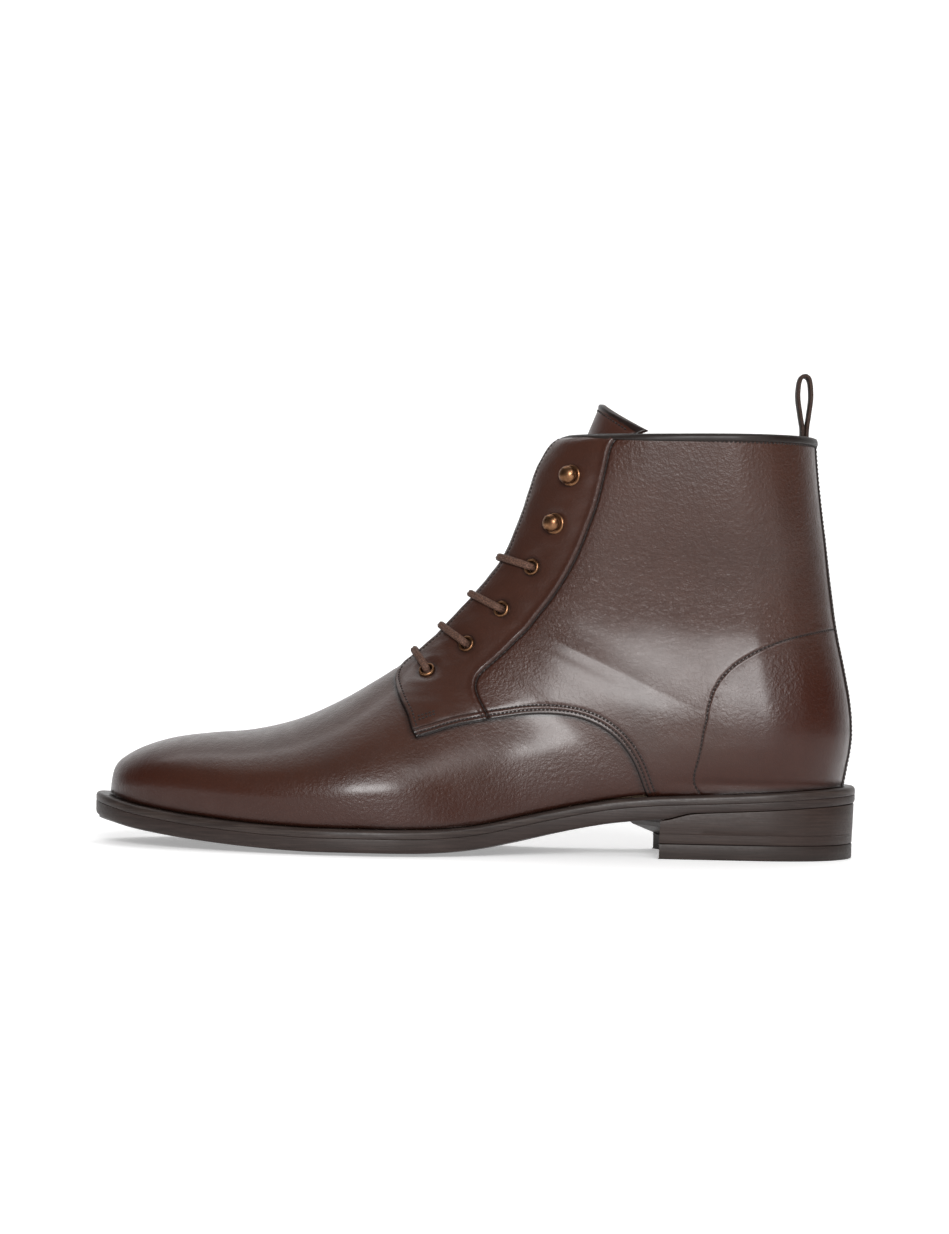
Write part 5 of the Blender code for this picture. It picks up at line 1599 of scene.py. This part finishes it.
def build_lace(places):
    path, out = [], []

    def mark(p, n):
        path.append(np.asarray(p, float))
        out.append(np.asarray(n, float))

    def at(s, w, lift):
        p, n = surf(np.array([s]), np.array([w]))[0], norm(np.array([s]), np.array([w]))[0]
        return p + n * lift, n

    def over(n, side):
        s, w, p, axis = places[(n, side)]
        s2, w2, p2, axis2 = places[(n, -side)]
        gap = throat_half(np.array([s]))
        e1 = float(level(np.array([s]), side, gap)[0])
        e1 = e1 if side < 0 else 2 - e1
        e2 = float(level(np.array([s2]), -side, gap)[0])
        e2 = e2 if side > 0 else 2 - e2
        toward = at(s, w + (e1 - w) * 0.2, 0)[0] - p
        toward /= np.linalg.norm(toward)
        lean = toward - axis * (toward @ axis)
        mark(p - axis * 4.3 - lean * 0.3, -lean)
        mark(p - axis * 2.4, -lean)
        mark(p - axis * 0.6 + lean * 0.15, -lean * 0.8 + axis * 0.5)
        mark(p + axis * 0.95 + lean * 0.75, axis * 0.7 - lean * 0.7)
        mark(p + axis * 1.95 + lean * 2.3, axis)
        q, n_ = at(s, w + (e1 - w) * 0.52, 2.15)
        mark(q, n_)
        q, n_ = at(s, w + (e1 - w) * 0.80, 1.75)
        mark(q, n_)
        q, n_ = at(s, w + (e1 - w) * 1.0, 1.65)
        mark(q, n_)
        m1, k1 = at(s, e1, 1.0)
        m2, k2 = at(s2, e2, 1.0)
        up = (k1 + k2) / np.linalg.norm(k1 + k2)
        mark((m1 + m2) / 2 + up * 0.9, up)
        for share, lift in ((1.0, 1.65), (0.80, 1.75), (0.52, 2.15)):
            q, n_ = at(s2, w2 + (e2 - w2) * share, lift)
            mark(q, n_)
        toward = at(s2, w2 + (e2 - w2) * 0.2, 0)[0] - p2
        lean = toward - axis2 * (toward @ axis2)
        lean /= np.linalg.norm(lean)
        mark(p2 + axis2 * 1.95 + lean * 2.3, axis2)
        mark(p2 + axis2 * 0.95 + lean * 0.75, axis2 * 0.7 - lean * 0.7)
        mark(p2 - axis2 * 0.6 + lean * 0.15, -lean * 0.8 + axis2 * 0.5)
        mark(p2 - axis2 * 2.4, -lean)
        mark(p2 - axis2 * 4.3 - lean * 0.3, -lean)

    side = 1
    for n in (1, 2, 3, 4):
        over(n, side)
        if n < 4:
            s, w, p, axis = places[(n, -side)]
            s2, w2, p2, axis2 = places[(n + 1, -side)]
            for k in (0.2, 0.4, 0.6, 0.8):
                q, n_ = at(s + (s2 - s) * k, w + (w2 - w) * k, -4.7)
                mark(q, n_)
        side = -side
    p = curve(path, 7)
    nn = curve(out, 7)
    run = lengths(p)
    t = np.linspace(0, run[-1], int(run[-1] / 0.55))
    p = np.stack([np.interp(t, run, p[:, k]) for k in range(3)], -1)
    nn = np.stack([np.interp(t, run, nn[:, k]) for k in range(3)], -1)
    for _ in range(3):
        p[1:-1] = (p[:-2] + 2 * p[1:-1] + p[2:]) / 4
    w = np.linspace(0, 2 * np.pi, 28, endpoint=False)
    wide, tall = 1.42, 0.98
    ribs = 1 + 0.05 * np.cos(6 * w)
    prof = np.stack([np.cos(w) * wide * ribs, np.sin(w) * tall * (1 - 0.20 * np.exp(-((np.cos(w) / 0.24) ** 2))) * ribs], -1)
    points, faces = sweep(p, nn, prof)
    put("waxed_lace", points, faces, CORD_LOOK, weld=0, replaces=("lace",), slot="lace_cord")


def build_loop():
    inner = back_x(COLLAR_HEIGHT) - WALL
    thick = 1.3
    mid = inner - 0.7 - thick - 0.25
    leg = (thick + 0.5) / 2
    top = COLLAR_HEIGHT + 26.4
    line = []
    for z in (153.0, 160.0, 166.0):
        line.append((mid + leg + (back_x(z) - back_x(COLLAR_HEIGHT)) * 0.6, z))
    line += [(mid + leg + 0.1, 171.0), (mid + 1.7, 176.5), (mid + 2.4, 183.0), (mid + 2.2, 188.0)]
    for w in (30, 60, 90, 120, 150):
        line.append((mid - 0.2 + 2.1 * math.cos(math.radians(w)), 189.3 + (top - thick / 2 - 189.3) * math.sin(math.radians(w))))
    line += [(mid - 2.6, 188.0), (mid - 2.7, 183.0), (mid - 1.7, 176.5), (mid - leg + 0.1, 171.0)]
    for z in (166.0, 160.0, 153.0):
        line.append((mid - leg + (back_x(z) - back_x(COLLAR_HEIGHT)) * 0.6, z))
    q = curve(line, 8)
    p = np.stack([q[:, 0], np.full(len(q), SIDE_SHIFT), q[:, 1]], -1)
    p[:, 1] += 0.4 * np.sin(np.linspace(0, 3.1, len(p)))
    t = np.gradient(p, axis=0)
    n = np.stack([-t[:, 2], np.zeros(len(p)), t[:, 0]], -1)
    prof = oval(4.5, thick / 2 * 1.25, 30, 5.0)
    prof[:, 1] *= 1 + 0.10 * np.cos(prof[:, 0] * 2.8)
    points, faces = sweep(p, n, prof)
    put("loop_strap", points, faces, WEB_LOOK, weld=0, replaces=("pull_loop",), slot="loop_leather")


# ---------------------------------------------------------------- the whole boot
build_soles()
build_heel()
build_vamp()
build_quarter(-1, "quarter_lateral")
build_quarter(1, "quarter_medial")
build_strip()
build_binding()
build_lining()
build_tongue()
PLACES = build_hardware()
build_lace(PLACES)
build_loop()


# ---------------------------------------------------------------- studio
def stage_look(name, colour, rough):
    k = Look(name, rough=rough, specular=0.2)
    k.b.inputs["Emission Color"].default_value = (1.0, 1.0, 1.0, 1.0)
    k.b.inputs["Emission Strength"].default_value = 0.34
    return k.done(k.mix(k.fit(k.noise(3.0, 2.0), 0.3, 0.7, 0.0, 0.05), colour, tuple(v * 0.97 for v in colour)))


def build_stage():
    profile = [(-2.4, 0.0), (1.6, 0.0)]
    for w in np.linspace(0, np.pi / 2, 14)[1:]:
        profile.append((1.6 + 1.0 * math.sin(w), 1.0 - 1.0 * math.cos(w)))
    profile.append((2.6, 4.0))
    xs = np.linspace(-4.0, 4.0, 9)
    points = [(x, y, z) for y, z in profile for x in xs]
    mesh = bpy.data.meshes.new("sweep")
    mesh.from_pydata(points, [], grid_faces(len(profile), len(xs)))
    mesh.shade_smooth()
    mesh.materials.append(stage_look("paper", (0.92, 0.92, 0.92), 0.9))
    obj = bpy.data.objects.new("studio_sweep", mesh)
    bpy.context.scene.collection.objects.link(obj)


def lamp(name, at, aim, size, power, colour=(1.0, 1.0, 1.0), spread=180.0):
    data = bpy.data.lights.new(name, "AREA")
    data.shape = "RECTANGLE"
    data.size, data.size_y = size
    data.energy = power
    data.color = colour
    data.spread = math.radians(spread)
    obj = bpy.data.objects.new(name, data)
    obj.location = at
    obj.rotation_euler = (Vector(aim) - Vector(at)).to_track_quat("-Z", "Y").to_euler()
    bpy.context.scene.collection.objects.link(obj)
    return obj


build_stage()
bpy.context.scene.view_settings.view_transform = "Standard"
world = bpy.data.worlds.new("soft_room")
world.use_nodes = True
world.node_tree.nodes["Background"].inputs["Color"].default_value = (1.0, 1.0, 1.0, 1.0)
world.node_tree.nodes["Background"].inputs["Strength"].default_value = 0.10
bpy.context.scene.world = world
lamp("front_soft", (0.06, -1.80, 0.66), (0.06, 0.0, 0.09), (0.72, 0.44), 34.0)
lamp("key_soft", (0.75, -1.15, 1.15), (0.04, 0.0, 0.08), (0.6, 0.6), 6.0)
lamp("top_soft", (-0.1, 0.35, 1.5), (0.0, 0.0, 0.05), (1.8, 0.9), 4.0)
lamp("backdrop_fill", (0.0, 0.9, 1.9), (0.0, 2.2, 0.3), (2.8, 0.9), 24.0)

# ---------------------------------------------------------------- camera
ROLL_ANGLE = math.radians(1.2)
eye = bpy.data.cameras.new("camera")
eye.lens = 98.08
eye.sensor_width = 36.0
eye.clip_end = 20.0
camera = bpy.data.objects.new("camera", eye)
c, s = math.cos(ROLL_ANGLE), math.sin(ROLL_ANGLE)
camera.matrix_world = Matrix(((c, -s, 0.0, -0.00162), (0.0, 0.0, -1.0, -1.345), (s, c, 0.0, 0.09308), (0.0, 0.0, 0.0, 1.0)))
bpy.context.scene.collection.objects.link(camera)
bpy.context.scene.camera = camera

bpy.context.view_layer.update()
